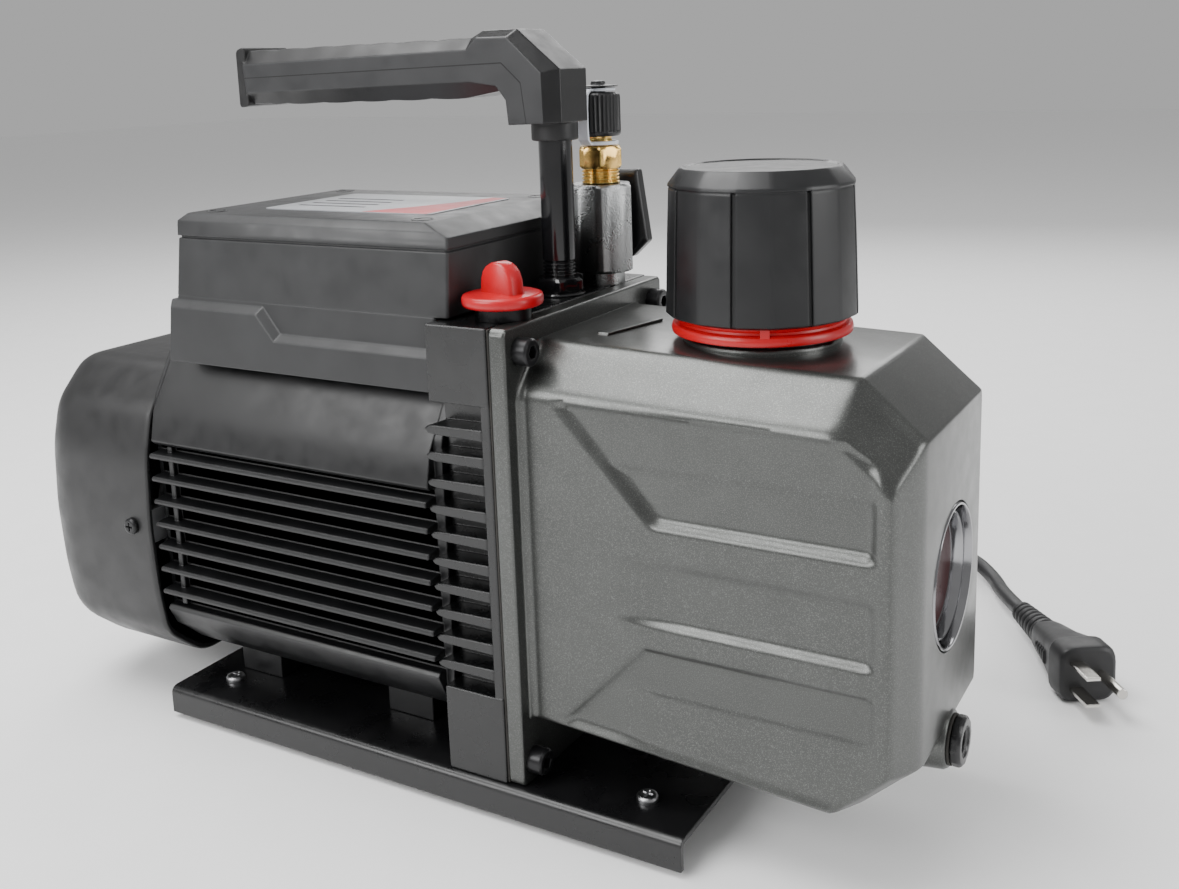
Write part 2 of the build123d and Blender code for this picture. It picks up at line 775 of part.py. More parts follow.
with BuildPart() as pump_bracket:
    with BuildSketch(yz_plane(bracket_x0)):
        with Locations((0, (plate_top + bracket_top) / 2)):
            Rectangle(2 * bracket_half, bracket_top - plate_top)
    extrude(amount=bracket_x1 - bracket_x0)
    shoulder = [
        e for e in pump_bracket.edges().filter_by(Axis.X)
        if abs(e.center().Z - bracket_top) < 0.01
    ]
    chamfer(shoulder, length=2.5)
    for side in (-1, 1):
        with BuildSketch(yz_plane(bracket_x0)):
            with Locations((side * (bracket_core_half + 10.0), (rib_z0 + rib_z1) / 2)):
                Rectangle(20.0, rib_z1 - rib_z0)
        extrude(amount=bracket_x1 - bracket_x0, mode=Mode.SUBTRACT)
        with BuildSketch(yz_plane(bracket_x0)):
            for row in range(rib_count):
                with Locations((side * (bracket_core_half + 4.8), rib_first_z - row * rib_pitch)):
                    Rectangle(10.4, rib_thick)
        extrude(amount=bracket_x1 - bracket_x0)
        with BuildSketch(yz_plane(bracket_x0 - rib_reach)):
            for row in range(rib_count):
                with Locations((side * rib_tip_mid, rib_first_z - row * rib_pitch)):
                    Rectangle(rib_tip_len, rib_thick)
        extrude(amount=rib_reach)
    with BuildSketch(shaft_plane(tunnel_x0)):
        Circle(tunnel_r)
    extrude(amount=bracket_x1 - tunnel_x0, mode=Mode.SUBTRACT)
    with BuildSketch(shaft_plane(bracket_x0)):
        Circle(bearing_r)
    extrude(amount=bearing_w, mode=Mode.SUBTRACT)
    with BuildSketch(shaft_plane(bracket_x0)):
        Circle(shaft_r + 1.5)
    extrude(amount=bracket_x1 - bracket_x0, mode=Mode.SUBTRACT)
    with BuildSketch(yz_plane(bracket_x1)):
        with Locations(*flange_bolt_spots):
            Circle(flange_bolt_r)
    extrude(amount=-bracket_screw_depth, mode=Mode.SUBTRACT)
    with BuildSketch(shaft_plane(bracket_x1)):
        with Locations(*pump_bolt_spots):
            Circle(pump_bolt_r)
    extrude(amount=-12.0, mode=Mode.SUBTRACT)
    with BuildSketch(Plane.XY.offset(bracket_top)):
        with Locations((post_x, post_y)):
            Circle(post_r - 1.0)
        with Locations((inlet_x, inlet_y)):
            Circle(spigot_r)
    extrude(amount=-spigot_depth, mode=Mode.SUBTRACT)
    with BuildSketch(Plane.XY.offset(bracket_top)):
        with Locations((inlet_x, inlet_y)):
            Circle(inlet_bore_r)
    extrude(amount=-45.0, mode=Mode.SUBTRACT)
    with BuildSketch(Plane.XY.offset(plate_top)):
        with Locations(*bracket_bolt_spots):
            Circle(clamp_bolt_r)
    extrude(amount=clamp_bolt_depth + 2.0, mode=Mode.SUBTRACT)
pump_bracket.part.label = "pump_bracket"

clamp_head_h = 4.0
clamp_head_af = 10.0

with BuildPart() as plate_bolts:
    for spot in bracket_bolt_spots + motor_foot_spots:
        with BuildSketch(Plane.XY.offset(plate_top - plate_sheet)):
            with Locations(spot):
                Circle(clamp_bolt_r)
        extrude(amount=plate_sheet + clamp_bolt_depth)
        with BuildSketch(Plane.XY.offset(plate_top - plate_sheet - clamp_head_h)):
            with Locations(spot):
                RegularPolygon(clamp_head_af / 2, 6, major_radius=False)
        extrude(amount=clamp_head_h)
plate_bolts.part.label = "plate_bolts"

# ------------------------------------------------------------------ oil case
case_mid_half = 39.5
case_side_half = 56.1
case_outer = [
    (flange_x1 - 3.0, 195.1),
    (143.4, 191.1),
    (case_x2, 171.0),
    (case_x2, 51.4),
    (146.5, 33.4),
    (flange_x1 - 3.0, 41.4),
]
case_side = [
    (flange_x1 - 3.0, 177.1),
    (143.1, 174.5),
    (160.0, 163.6),
    (160.0, 53.8),
    (143.0, 33.6),
    (flange_x1 - 3.0, 41.6),
]
well_mid_half = 38.2
well_side_half = 52.1
well_outer = [
    (flange_x0 - 1.0, 190.8),
    (141.8, 186.9),
    (162.5, 169.2),
    (162.5, 53.2),
    (145.0, 37.9),
    (flange_x0 - 1.0, 46.5),
]
well_side = [
    (flange_x0 - 1.0, 173.0),
    (141.2, 170.6),
    (156.0, 161.2),
    (156.0, 55.3),
    (141.6, 38.2),
    (flange_x0 - 1.0, 46.7),
]
panel_upper = [
    (32.0, 174.0),
    (54.2, 157.3),
    (70.1, 132.6),
    (154.0, 132.4),
    (154.0, 158.5),
    (139.5, 170.0),
]
panel_lower = [
    (31.0, 45.0),
    (66.7, 82.7),
    (154.0, 82.0),
    (154.0, 57.0),
    (140.0, 38.5),
]
panel_depth = 1.4
sight_wall_r = 32.0
sight_recess_x = 160.8
neck_r = 24.0
neck_bore_r = 19.0
neck_seat_r = 30.0
neck_seat_z = 195.0
drain_boss_r = 11.0
drain_boss_x = 167.6
drain_bore_r = 6.0

with BuildPart() as oil_case:
    with BuildSketch(xz_plane(case_mid_half)):
        with BuildLine():
            Polyline(*case_outer, close=True)
        make_face()
    extrude(amount=2 * case_mid_half)
    for side in (-1, 1):
        with BuildSketch(xz_plane(side * case_mid_half)):
            with BuildLine():
                Polyline(*case_outer, close=True)
            make_face()
        with BuildSketch(xz_plane(side * case_side_half)):
            with BuildLine():
                Polyline(*case_side, close=True)
            make_face()
        loft(ruled=True)
    with BuildSketch(yz_plane(flange_x0)):
        with Locations((0, (plate_top + bracket_top) / 2)):
            RectangleRounded(2 * flange_half, bracket_top - plate_top, 2.0)
    extrude(amount=flange_x1 - flange_x0)
    with BuildSketch(Plane.XY.offset(186.0)):
        with Locations((cap_x, 0)):
            Circle(neck_seat_r)
    extrude(amount=neck_seat_z - 186.0)
    with BuildSketch(yz_plane(144.0)):
        with Locations((0, drain_z)):
            Circle(drain_boss_r)
    extrude(amount=drain_boss_x - 144.0)
    with BuildSketch(xz_plane(well_mid_half)):
        with BuildLine():
            Polyline(*well_outer, close=True)
        make_face()
    extrude(amount=2 * well_mid_half, mode=Mode.SUBTRACT)
    for side in (-1, 1):
        with BuildSketch(xz_plane(side * well_mid_half)):
            with BuildLine():
                Polyline(*well_outer, close=True)
            make_face()
        with BuildSketch(xz_plane(side * well_side_half)):
            with BuildLine():
                Polyline(*well_side, close=True)
            make_face()
        loft(ruled=True, mode=Mode.SUBTRACT)
        for panel in (panel_upper, panel_lower):
            with BuildSketch(xz_plane(side * case_side_half)):
                with BuildLine():
                    Polyline(*panel, close=True)
                make_face()
            extrude(amount=side * panel_depth, mode=Mode.SUBTRACT)
    with BuildSketch(yz_plane(155.0)):
        with Locations((0, sight_z)):
            Circle(sight_wall_r)
    extrude(amount=9.0)
    with BuildSketch(yz_plane(144.0)):
        with Locations((0, drain_z)):
            Circle(drain_boss_r)
    extrude(amount=20.0)
    with BuildSketch(yz_plane(case_x2)):
        with Locations((0, sight_z)):
            Circle(sight_r)
    extrude(amount=sight_recess_x - case_x2, mode=Mode.SUBTRACT)
    with BuildSketch(yz_plane(case_x2)):
        with Locations((0, sight_z)):
            Circle(sight_r - 6.0)
    extrude(amount=-14.0, mode=Mode.SUBTRACT)
    with BuildSketch(yz_plane(drain_boss_x)):
        with Locations((0, drain_z)):
            Circle(drain_bore_r)
    extrude(amount=-26.0, mode=Mode.SUBTRACT)
    with BuildSketch(Plane.XY.offset(neck_seat_z)):
        with Locations((cap_x, 0)):
            Circle(neck_bore_r)
    extrude(amount=-12.0, mode=Mode.SUBTRACT)
    with BuildSketch(yz_plane(flange_x1)):
        with Locations(*flange_bolt_spots):
            Circle(flange_bolt_r + 0.3)
    extrude(amount=flange_x0 - flange_x1, mode=Mode.SUBTRACT)
oil_case.part.label = "oil_case"

with BuildPart() as case_gasket:
    with BuildSketch(yz_plane(bracket_x1)):
        with Locations((0, (plate_top + bracket_top) / 2)):
            Rectangle(2 * flange_half - 1.0, bracket_top - plate_top - 1.0)
            Rectangle(2 * 50.0, 140.0, mode=Mode.SUBTRACT)
        with Locations(*flange_bolt_spots):
            Circle(flange_bolt_r + 0.3, mode=Mode.SUBTRACT)
    extrude(amount=flange_x0 - bracket_x1)
case_gasket.part.label = "case_gasket"

socket_af = 5.0

with BuildPart() as flange_bolts:
    with BuildSketch(yz_plane(flange_x1)):
        with Locations(*flange_bolt_spots):
            Circle(flange_bolt_r)
    extrude(amount=-(flange_x1 - bracket_x1 + bracket_screw_depth - 2.0))
    with BuildSketch(yz_plane(flange_x1)):
        with Locations(*flange_bolt_spots):
            Circle(flange_bolt_head_r)
    extrude(amount=6.5)
    bolt_rims = flange_bolts.edges().filter_by(GeomType.CIRCLE).group_by(Axis.X)[-1]
    chamfer(bolt_rims, length=0.8)
    with BuildSketch(yz_plane(flange_x1 + 6.5)):
        with Locations(*flange_bolt_spots):
            RegularPolygon(socket_af / 2, 6, major_radius=False)
    extrude(amount=-3.5, mode=Mode.SUBTRACT)
flange_bolts.part.label = "flange_bolts"

# ------------------------------------------------------------- vacuum pump
coupling_r = 22.0
pump_shaft_x0 = -0.5
end_plate_r = 42.0
cylinder_r = 40.0
rotor_r = 22.5
cylinder_bore_r = 26.0
bore_drop = 3.4
rear_plate_x = (bracket_x1, 18.0)
high_stage_x = (18.0, 60.0)
centre_plate_x = (60.0, 68.0)
low_stage_x = (68.0, 92.0)
front_plate_x = (92.0, 101.0)
rotor_side_gap = 0.08
slot_half = 2.1
vane_half = 2.05
vane_tip = 22.3
vane_root = 9.5
seal_r = 14.0
valve_flat = 37.0

with BuildPart() as shaft_coupling:
    with BuildSketch(shaft_plane(-7.5)):
        Circle(coupling_r)
        Circle(shaft_r, mode=Mode.SUBTRACT)
    extrude(amount=13.0)
    coupling_rims = [
        e for e in shaft_coupling.edges().filter_by(GeomType.CIRCLE)
        if e.radius > coupling_r - 0.1
    ]
    chamfer(coupling_rims, length=1.0)
    with BuildSketch(shaft_plane(-2.0)):
        with PolarLocations(coupling_r - 3.0, 6):
            Rectangle(7.0, 3.0)
    extrude(amount=2.0, mode=Mode.SUBTRACT)
shaft_coupling.part.label = "shaft_coupling"

with BuildPart() as shaft_seal:
    with BuildSketch(shaft_plane(rear_plate_x[0] + 0.2)):
        Circle(seal_r)
        Circle(shaft_r + fit_gap, mode=Mode.SUBTRACT)
    extrude(amount=5.0)
    with BuildSketch(shaft_plane(rear_plate_x[0] + 0.2)):
        Circle(seal_r - 2.0)
        Circle(shaft_r + 1.5, mode=Mode.SUBTRACT)
    extrude(amount=2.0, mode=Mode.SUBTRACT)
shaft_seal.part.label = "shaft_seal"

with BuildPart() as rear_end_plate:
    with BuildSketch(shaft_plane(rear_plate_x[0])):
        Circle(end_plate_r)
        Circle(shaft_r + fit_gap, mode=Mode.SUBTRACT)
        with Locations(*pump_bolt_spots):
            Circle(pump_bolt_r + 0.1, mode=Mode.SUBTRACT)
    extrude(amount=rear_plate_x[1] - rear_plate_x[0])
    with BuildSketch(shaft_plane(rear_plate_x[0])):
        Circle(seal_r)
    extrude(amount=5.4, mode=Mode.SUBTRACT)
rear_end_plate.part.label = "rear_end_plate"

with BuildPart() as high_stage_cylinder:
    with BuildSketch(shaft_plane(high_stage_x[0])):
        Circle(cylinder_r)
        with Locations((0, -bore_drop)):
            Circle(cylinder_bore_r, mode=Mode.SUBTRACT)
        with Locations(*pump_bolt_spots):
            Circle(pump_bolt_r + 0.1, mode=Mode.SUBTRACT)
    extrude(amount=high_stage_x[1] - high_stage_x[0])
high_stage_cylinder.part.label = "high_stage_cylinder"

with BuildPart() as centre_plate:
    with BuildSketch(shaft_plane(centre_plate_x[0])):
        Circle(cylinder_r)
        Circle(shaft_r + fit_gap, mode=Mode.SUBTRACT)
        with Locations(*pump_bolt_spots):
            Circle(pump_bolt_r + 0.1, mode=Mode.SUBTRACT)
        with Locations((18.0, -14.0)):
            Circle(2.5, mode=Mode.SUBTRACT)
    extrude(amount=centre_plate_x[1] - centre_plate_x[0])
centre_plate.part.label = "centre_plate"

valve_x = 80.0
port_y = 6.0

with BuildPart() as low_stage_cylinder:
    with BuildSketch(shaft_plane(low_stage_x[0])):
        Circle(cylinder_r)
        with Locations((0, -bore_drop)):
            Circle(cylinder_bore_r, mode=Mode.SUBTRACT)
        with Locations(*pump_bolt_spots):
            Circle(pump_bolt_r + 0.1, mode=Mode.SUBTRACT)
        with Locations((0, valve_flat + 10.0)):
            Rectangle(60.0, 20.0, mode=Mode.SUBTRACT)
    extrude(amount=low_stage_x[1] - low_stage_x[0])
    with BuildSketch(Plane.XY.offset(shaft_z + valve_flat)):
        with Locations((valve_x, port_y)):
            Circle(2.2)
    extrude(amount=-18.0, mode=Mode.SUBTRACT)
low_stage_cylinder.part.label = "low_stage_cylinder"

with BuildPart() as front_end_plate:
    with BuildSketch(shaft_plane(front_plate_x[0])):
        Circle(cylinder_r)
        Circle(shaft_r + fit_gap, mode=Mode.SUBTRACT)
        with Locations(*pump_bolt_spots):
            Circle(pump_bolt_r + 0.1, mode=Mode.SUBTRACT)
    extrude(amount=front_plate_x[1] - front_plate_x[0])
front_end_plate.part.label = "front_end_plate"

stage_spans = (high_stage_x, low_stage_x)

with BuildPart() as pump_rotor:
    with BuildSketch(shaft_plane(pump_shaft_x0)):
        Circle(shaft_r)
    extrude(amount=front_plate_x[1] - 1.0 - pump_shaft_x0)
    for span in stage_spans:
        with BuildSketch(shaft_plane(span[0] + rotor_side_gap)):
            Circle(rotor_r)
        extrude(amount=span[1] - span[0] - 2 * rotor_side_gap)
        for side in (-1, 1):
            with BuildSketch(shaft_plane(span[0])):
                with Locations((0, side * (vane_root + 10.0 - 0.5))):
                    Rectangle(2 * slot_half, 20.0)
            extrude(amount=span[1] - span[0], mode=Mode.SUBTRACT)
pump_rotor.part.label = "pump_rotor"

with BuildPart() as vanes:
    for span in stage_spans:
        for side in (-1, 1):
            with BuildSketch(shaft_plane(span[0] + 2 * rotor_side_gap)):
                with Locations((0, side * (vane_root + vane_tip) / 2)):
                    Rectangle(2 * vane_half, vane_tip - vane_root)
            extrude(amount=span[1] - span[0] - 4 * rotor_side_gap)
vanes.part.label = "vanes"

flap_far_y = 17.0
flap_near_y = 1.0
flap_thick = 0.5

with BuildPart() as valve_flap:
    with BuildSketch(Plane.XY.offset(shaft_z + valve_flat + fit_gap)):
        with Locations((valve_x, (flap_far_y + flap_near_y) / 2)):
            RectangleRounded(10.0, flap_far_y - flap_near_y, 2.0)
    extrude(amount=flap_thick)
valve_flap.part.label = "valve_flap"

pump_bolt_head_x = front_plate_x[1]

with BuildPart() as pump_bolts:
    with BuildSketch(shaft_plane(pump_bolt_head_x)):
        with Locations(*pump_bolt_spots):
            Circle(pump_bolt_r)
    extrude(amount=-(pump_bolt_head_x - bracket_x1 + 10.0))
    with BuildSketch(shaft_plane(pump_bolt_head_x)):
        with Locations(*pump_bolt_spots):
            RegularPolygon(4.0, 6, major_radius=False)
    extrude(amount=3.5)
pump_bolts.part.label = "pump_bolts"

# ------------------------------------------------------------- gas ballast
knob_z = 208.0
knob_disc = 4.8
wing_len = 17.0
wing_thick = 8.0
wing_turn = -13.6
wing_top = 225.1
wing_round = 6.5
knob_stem_r = 5.0

with BuildPart() as ballast_seat:
    with BuildSketch(Plane.XY.offset(bracket_top)):
        with Locations((knob_x, knob_y)):
            Circle(11.0)
            Circle(knob_stem_r + fit_gap, mode=Mode.SUBTRACT)
    extrude(amount=knob_z - bracket_top - 0.3)
ballast_seat.part.label = "ballast_seat"

wing_plane = Plane(
    origin=(knob_x, knob_y, knob_z + knob_disc),
    x_dir=(math.cos(math.radians(wing_turn)), math.sin(math.radians(wing_turn)), 0),
    z_dir=(math.sin(math.radians(wing_turn)), -math.cos(math.radians(wing_turn)), 0),
)
wing_rise = wing_top - knob_z - knob_disc

with BuildPart() as ballast_knob:
    with BuildSketch(Plane.XY.offset(knob_z)):
        with Locations((knob_x, knob_y)):
            Circle(knob_r)
    extrude(amount=knob_disc)
    disc_rims = ballast_knob.edges().filter_by(GeomType.CIRCLE)
    fillet(disc_rims, radius=1.2)
    with BuildSketch(wing_plane):
        with Locations((0, wing_rise / 2 - 0.5)):
            Rectangle(wing_len, wing_rise + 1.0)
    extrude(amount=wing_thick / 2, both=True)
    wing_corners = [
        e for e in ballast_knob.edges()
        if e.center().Z > wing_top - 1.0 and abs(e.length - wing_thick) < 0.1
    ]
    fillet(wing_corners, radius=wing_round)
    with BuildSketch(Plane.XY.offset(knob_z)):
        with Locations((knob_x, knob_y)):
            Circle(knob_stem_r)
    extrude(amount=-(knob_z - bracket_top))
ballast_knob.part.label = "ballast_knob"

# ------------------------------------------------------------ exhaust cap
ring_z = (196.5, 203.4)
cap_sides = 16
cap_turn = 6.0
cap_shoulder_z = 253.5
cap_shoulder_r = 35.4
cap_top_r = 31.0
cap_core_r = 31.0
cap_socket_z = 224.0
thread_clear = 0.08

with BuildPart() as exhaust_neck:
    with BuildSketch(Plane.XY.offset(neck_seat_z)):
        with Locations((cap_x, 0)):
            Circle(28.0)
            Circle(neck_bore_r, mode=Mode.SUBTRACT)
    extrude(amount=ring_z[0] - neck_seat_z)
    with BuildSketch(Plane.XY.offset(neck_seat_z)):
        with Locations((cap_x, 0)):
            Circle(neck_r)
            Circle(neck_bore_r, mode=Mode.SUBTRACT)
    extrude(amount=cap_socket_z - 1.5 - neck_seat_z)
exhaust_neck.part.label = "exhaust_neck"

with BuildPart() as exhaust_seal_ring:
    with BuildSketch(Plane.XY.offset(ring_z[0])):
        with Locations((cap_x, 0)):
            Circle(34.6)
            Circle(neck_r + 0.1, mode=Mode.SUBTRACT)
    extrude(amount=ring_z[1] - ring_z[0])
    ring_rims = [
        e for e in exhaust_seal_ring.edges().filter_by(GeomType.CIRCLE)
        if e.radius > 30.0
    ]
    fillet(ring_rims, radius=1.8)
exhaust_seal_ring.part.label = "exhaust_seal_ring"

with BuildPart() as exhaust_filter:
    with BuildSketch(Plane.XY.offset(cap_socket_z + 0.3)):
        with Locations((cap_x, 0)):
            Circle(cap_core_r - 0.6)
            Circle(13.0, mode=Mode.SUBTRACT)
    extrude(amount=26.0)
exhaust_filter.part.label = "exhaust_filter"

with BuildPart() as exhaust_cap:
    with BuildSketch(Plane.XY.offset(cap_z0)):
        with Locations((cap_x, 0)):
            RegularPolygon(cap_r, cap_sides, rotation=cap_turn)
    with BuildSketch(Plane.XY.offset(cap_shoulder_z)):
        with Locations((cap_x, 0)):
            RegularPolygon(cap_shoulder_r, cap_sides, rotation=cap_turn)
    loft(ruled=True)
    with BuildSketch(Plane.XY.offset(cap_shoulder_z)):
        with Locations((cap_x, 0)):
            RegularPolygon(cap_shoulder_r, cap_sides, rotation=cap_turn)
    with BuildSketch(Plane.XY.offset(cap_z1)):
        with Locations((cap_x, 0)):
            RegularPolygon(cap_top_r, cap_sides, rotation=cap_turn)
    loft(ruled=True)
    with BuildSketch(Plane.XY.offset(cap_z0)):
        with Locations((cap_x, 0)):
            Circle(neck_r + thread_clear)
    extrude(amount=cap_socket_z - cap_z0, mode=Mode.SUBTRACT)
    with BuildSketch(Plane.XY.offset(cap_socket_z)):
        with Locations((cap_x, 0)):
            Circle(cap_core_r)
    extrude(amount=28.0, mode=Mode.SUBTRACT)
    with BuildSketch(Plane.XY.offset(cap_z0)):
        with Locations((cap_x, 0)):
            with PolarLocations(28.6, 8):
                Circle(2.2)
    extrude(amount=cap_socket_z - cap_z0, mode=Mode.SUBTRACT)
exhaust_cap.part.label = "exhaust_cap"

# ----------------------------------------------------- sight glass, drain
glass_r = 21.6
bezel_x1 = 165.6

with BuildPart() as sight_bezel:
    with BuildSketch(Plane(origin=(sight_recess_x, 0, sight_z), x_dir=(0, 1, 0), z_dir=(1, 0, 0))):
        Circle(sight_r - fit_gap)
        Circle(glass_r, mode=Mode.SUBTRACT)
    extrude(amount=bezel_x1 - sight_recess_x)
    bezel_inner = [
        e for e in sight_bezel.edges().filter_by(GeomType.CIRCLE).group_by(Axis.X)[-1]
        if e.radius < glass_r + 0.1
    ]
    chamfer(bezel_inner, length=2.8)
sight_bezel.part.label = "sight_bezel"

with BuildPart() as sight_glass:
    with BuildSketch(Plane(origin=(sight_recess_x - 1.5, 0, sight_z), x_dir=(0, 1, 0), z_dir=(1, 0, 0))):
        Circle(glass_r - fit_gap)
    extrude(amount=3.6)
sight_glass.part.label = "sight_glass"

drain_seal_t = 0.9
drain_head_gap = 0.05
drain_head_h = 4.2
drain_plane = Plane(origin=(drain_boss_x, 0, drain_z), x_dir=(0, 1, 0), z_dir=(1, 0, 0))

with BuildPart() as drain_seal:
    with BuildSketch(drain_plane):
        Circle(9.8)
        Circle(drain_bore_r + 0.1, mode=Mode.SUBTRACT)
    extrude(amount=drain_seal_t)
drain_seal.part.label = "drain_seal"

with BuildPart() as drain_plug:
    with BuildSketch(drain_plane):
        Circle(drain_bore_r - fit_gap)
    extrude(amount=-12.0)
    with BuildSketch(drain_plane):
        Circle(drain_bore_r - fit_gap)
    extrude(amount=3.0)
    with BuildSketch(drain_plane.offset(drain_seal_t + drain_head_gap)):
        Circle(9.8)
    extrude(amount=drain_head_h)
    plug_rim = drain_plug.edges().filter_by(GeomType.CIRCLE).group_by(Axis.X)[-1]
    chamfer(plug_rim, length=1.0)
    with BuildSketch(drain_plane.offset(drain_seal_t + drain_head_gap + drain_head_h)):
        RegularPolygon(4.0, 6, major_radius=False)
    extrude(amount=-5.0, mode=Mode.SUBTRACT)
drain_plug.part.label = "drain_plug"

# ------------------------------------------------------------------ handle
post_z1 = 300.0
post_bore_r = 4.6
nut_post_af = 19.0
nut_post_h = 6.4
grip_half = 15.0
grip_chamfer = 3.6
grip_outline = [
    (-167.5, 284.2),
    (-167.5, 310.3),
    (-35.0, 310.9),
    (-29.0, 313.6),
    (-16.5, 313.6),
    (5.5, 296.5),
    (5.5, 276.0),
    (-18.0, 276.0),
    (-18.5, 285.8),
    (-23.5, 290.5),
    (-40.0, 287.0),
]
collar_z0 = 268.0
collar_r = 9.8

with BuildPart() as handle_post:
    with BuildSketch(Plane.XY.offset(bracket_top)):
        with Locations((post_x, post_y)):
            Circle(post_r)
    extrude(amount=post_z1 - bracket_top)
    with BuildSketch(Plane.XY.offset(bracket_top)):
        with Locations((post_x, post_y)):
            Circle(post_r - 1.0)
    extrude(amount=-15.0)
    with BuildSketch(Plane.XY.offset(bracket_top - 15.0)):
        with Locations((post_x, post_y)):
            Circle(post_bore_r)
    extrude(amount=post_z1 - bracket_top + 15.0, mode=Mode.SUBTRACT)
handle_post.part.label = "handle_post"

with BuildPart() as handle_nut:
    with BuildSketch(Plane.XY.offset(bracket_top)):
        with Locations((post_x, post_y)):
            Circle(10.4)
            Circle(post_r, mode=Mode.SUBTRACT)
    extrude(amount=1.2)
    with BuildSketch(Plane.XY.offset(bracket_top + 1.2)):
        with Locations((post_x, post_y)):
            RegularPolygon(nut_post_af / 2, 6, major_radius=False, rotation=30.0)
            Circle(post_r, mode=Mode.SUBTRACT)
    extrude(amount=nut_post_h)
handle_nut.part.label = "handle_nut"

with BuildPart() as handle_grip:
    with BuildSketch(xz_plane(post_y + grip_half)):
        with BuildLine():
            Polyline(*grip_outline, close=True)
        make_face()
    extrude(amount=2 * grip_half)
    side_rims = [
        e for e in handle_grip.edges()
        if abs(abs(e.center().Y - post_y) - grip_half) < 0.01
    ]
    chamfer(side_rims, length=grip_chamfer)
    with BuildSketch(Plane.XY.offset(collar_z0)):
        with Locations((post_x, post_y)):
            Circle(collar_r)
    extrude(amount=12.0)
    with BuildSketch(Plane.XY.offset(collar_z0)):
        with Locations((post_x, post_y)):
            Circle(post_r)
    extrude(amount=post_z1 - collar_z0, mode=Mode.SUBTRACT)
handle_grip.part.label = "handle_grip"

# ------------------------------------------------------------------- inlet
hex_z = (208.6, 247.2)
collar_top = 253.8
brass_hex_top = 263.4
flare_top = 281.0
flare_r = 5.5
flare_bore_r = 3.0
dust_z = (267.6, 286.4)
dust_r = 9.4
dust_nub_top = 291.4
strap_angle = math.radians(-78.0)
strap_w = 5.6
strap_t = 1.2
spindle_z = 228.5
spindle_r = 4.0
lever_y = (56.0, 64.0)
lever_outline = [
    (-8.5, 251.8),
    (8.5, 251.8),
    (13.2, 219.5),
    (5.2, 212.0),
    (-5.2, 212.0),
    (-13.2, 219.5),
]

with BuildPart() as inlet_body:
    with BuildSketch(Plane.XY.offset(hex_z[0])):
        with Locations((inlet_x, inlet_y)):
            RegularPolygon(hex_af / 2, 6, major_radius=False)
    extrude(amount=hex_z[1] - hex_z[0])
    with BuildSketch(Plane.XY.offset(bracket_top)):
        with Locations((inlet_x, inlet_y)):
            Circle(9.4)
    extrude(amount=hex_z[0] - bracket_top)
    with BuildSketch(Plane.XY.offset(bracket_top)):
        with Locations((inlet_x, inlet_y)):
            Circle(spigot_r - fit_gap)
    extrude(amount=-spigot_len)
    with BuildSketch(Plane.XY.offset(bracket_top - spigot_len)):
        with Locations((inlet_x, inlet_y)):
            Circle(inlet_bore_r)
    extrude(amount=hex_z[1] - bracket_top + spigot_len, mode=Mode.SUBTRACT)
    with BuildSketch(xz_plane(inlet_y + 30.0)):
        with Locations((inlet_x, spindle_z)):
            Circle(spindle_r + fit_gap)
    extrude(amount=30.0, mode=Mode.SUBTRACT)
inlet_body.part.label = "inlet_body"

with BuildPart() as inlet_flare:
    with BuildSketch(Plane.XY.offset(hex_z[1])):
        with Locations((inlet_x, inlet_y)):
            Circle(8.0)
    extrude(amount=collar_top - hex_z[1])
    with BuildSketch(Plane.XY.offset(collar_top)):
        with Locations((inlet_x, inlet_y)):
            RegularPolygon(brass_af / 2, 6, major_radius=False)
    extrude(amount=brass_hex_top - collar_top)
    with BuildSketch(Plane.XY.offset(brass_hex_top)):
        with Locations((inlet_x, inlet_y)):
            Circle(flare_r)
    extrude(amount=flare_top - brass_hex_top)
    with BuildSketch(Plane.XY.offset(hex_z[1])):
        with Locations((inlet_x, inlet_y)):
            Circle(flare_bore_r)
    extrude(amount=flare_top - hex_z[1], mode=Mode.SUBTRACT)
inlet_flare.part.label = "inlet_flare"

with BuildPart() as inlet_cap:
    with BuildSketch(Plane.XY.offset(dust_z[0])):
        with Locations((inlet_x, inlet_y)):
            Circle(dust_r)
    extrude(amount=dust_z[1] - dust_z[0])
    cap_rims = inlet_cap.edges().filter_by(GeomType.CIRCLE)
    chamfer(cap_rims, length=0.8)
    with BuildSketch(Plane.XY.offset(dust_z[1])):
        with Locations((inlet_x, inlet_y)):
            Circle(3.0)
    extrude(amount=dust_nub_top - dust_z[1])
    with BuildSketch(Plane.XY.offset(dust_z[1] + 2.4)):
        with Locations((inlet_x, inlet_y)):
            Circle(5.4)
    extrude(amount=1.0)
    with BuildSketch(Plane.XY.offset(dust_z[0])):
        with Locations((inlet_x, inlet_y)):
            Circle(flare_r + fit_gap)
    extrude(amount=flare_top - dust_z[0] + 0.4, mode=Mode.SUBTRACT)
inlet_cap.part.label = "inlet_cap"

strap_r0 = dust_r + 0.3
strap_dir = (math.cos(strap_angle), math.sin(strap_angle))
strap_side = Plane(
    origin=(inlet_x, inlet_y, 0),
    x_dir=(strap_dir[0], strap_dir[1], 0),
    z_dir=(strap_dir[1], -strap_dir[0], 0),
)
ring_low_z = brass_hex_top + 0.6
ring_high_z = dust_z[1] + 0.2

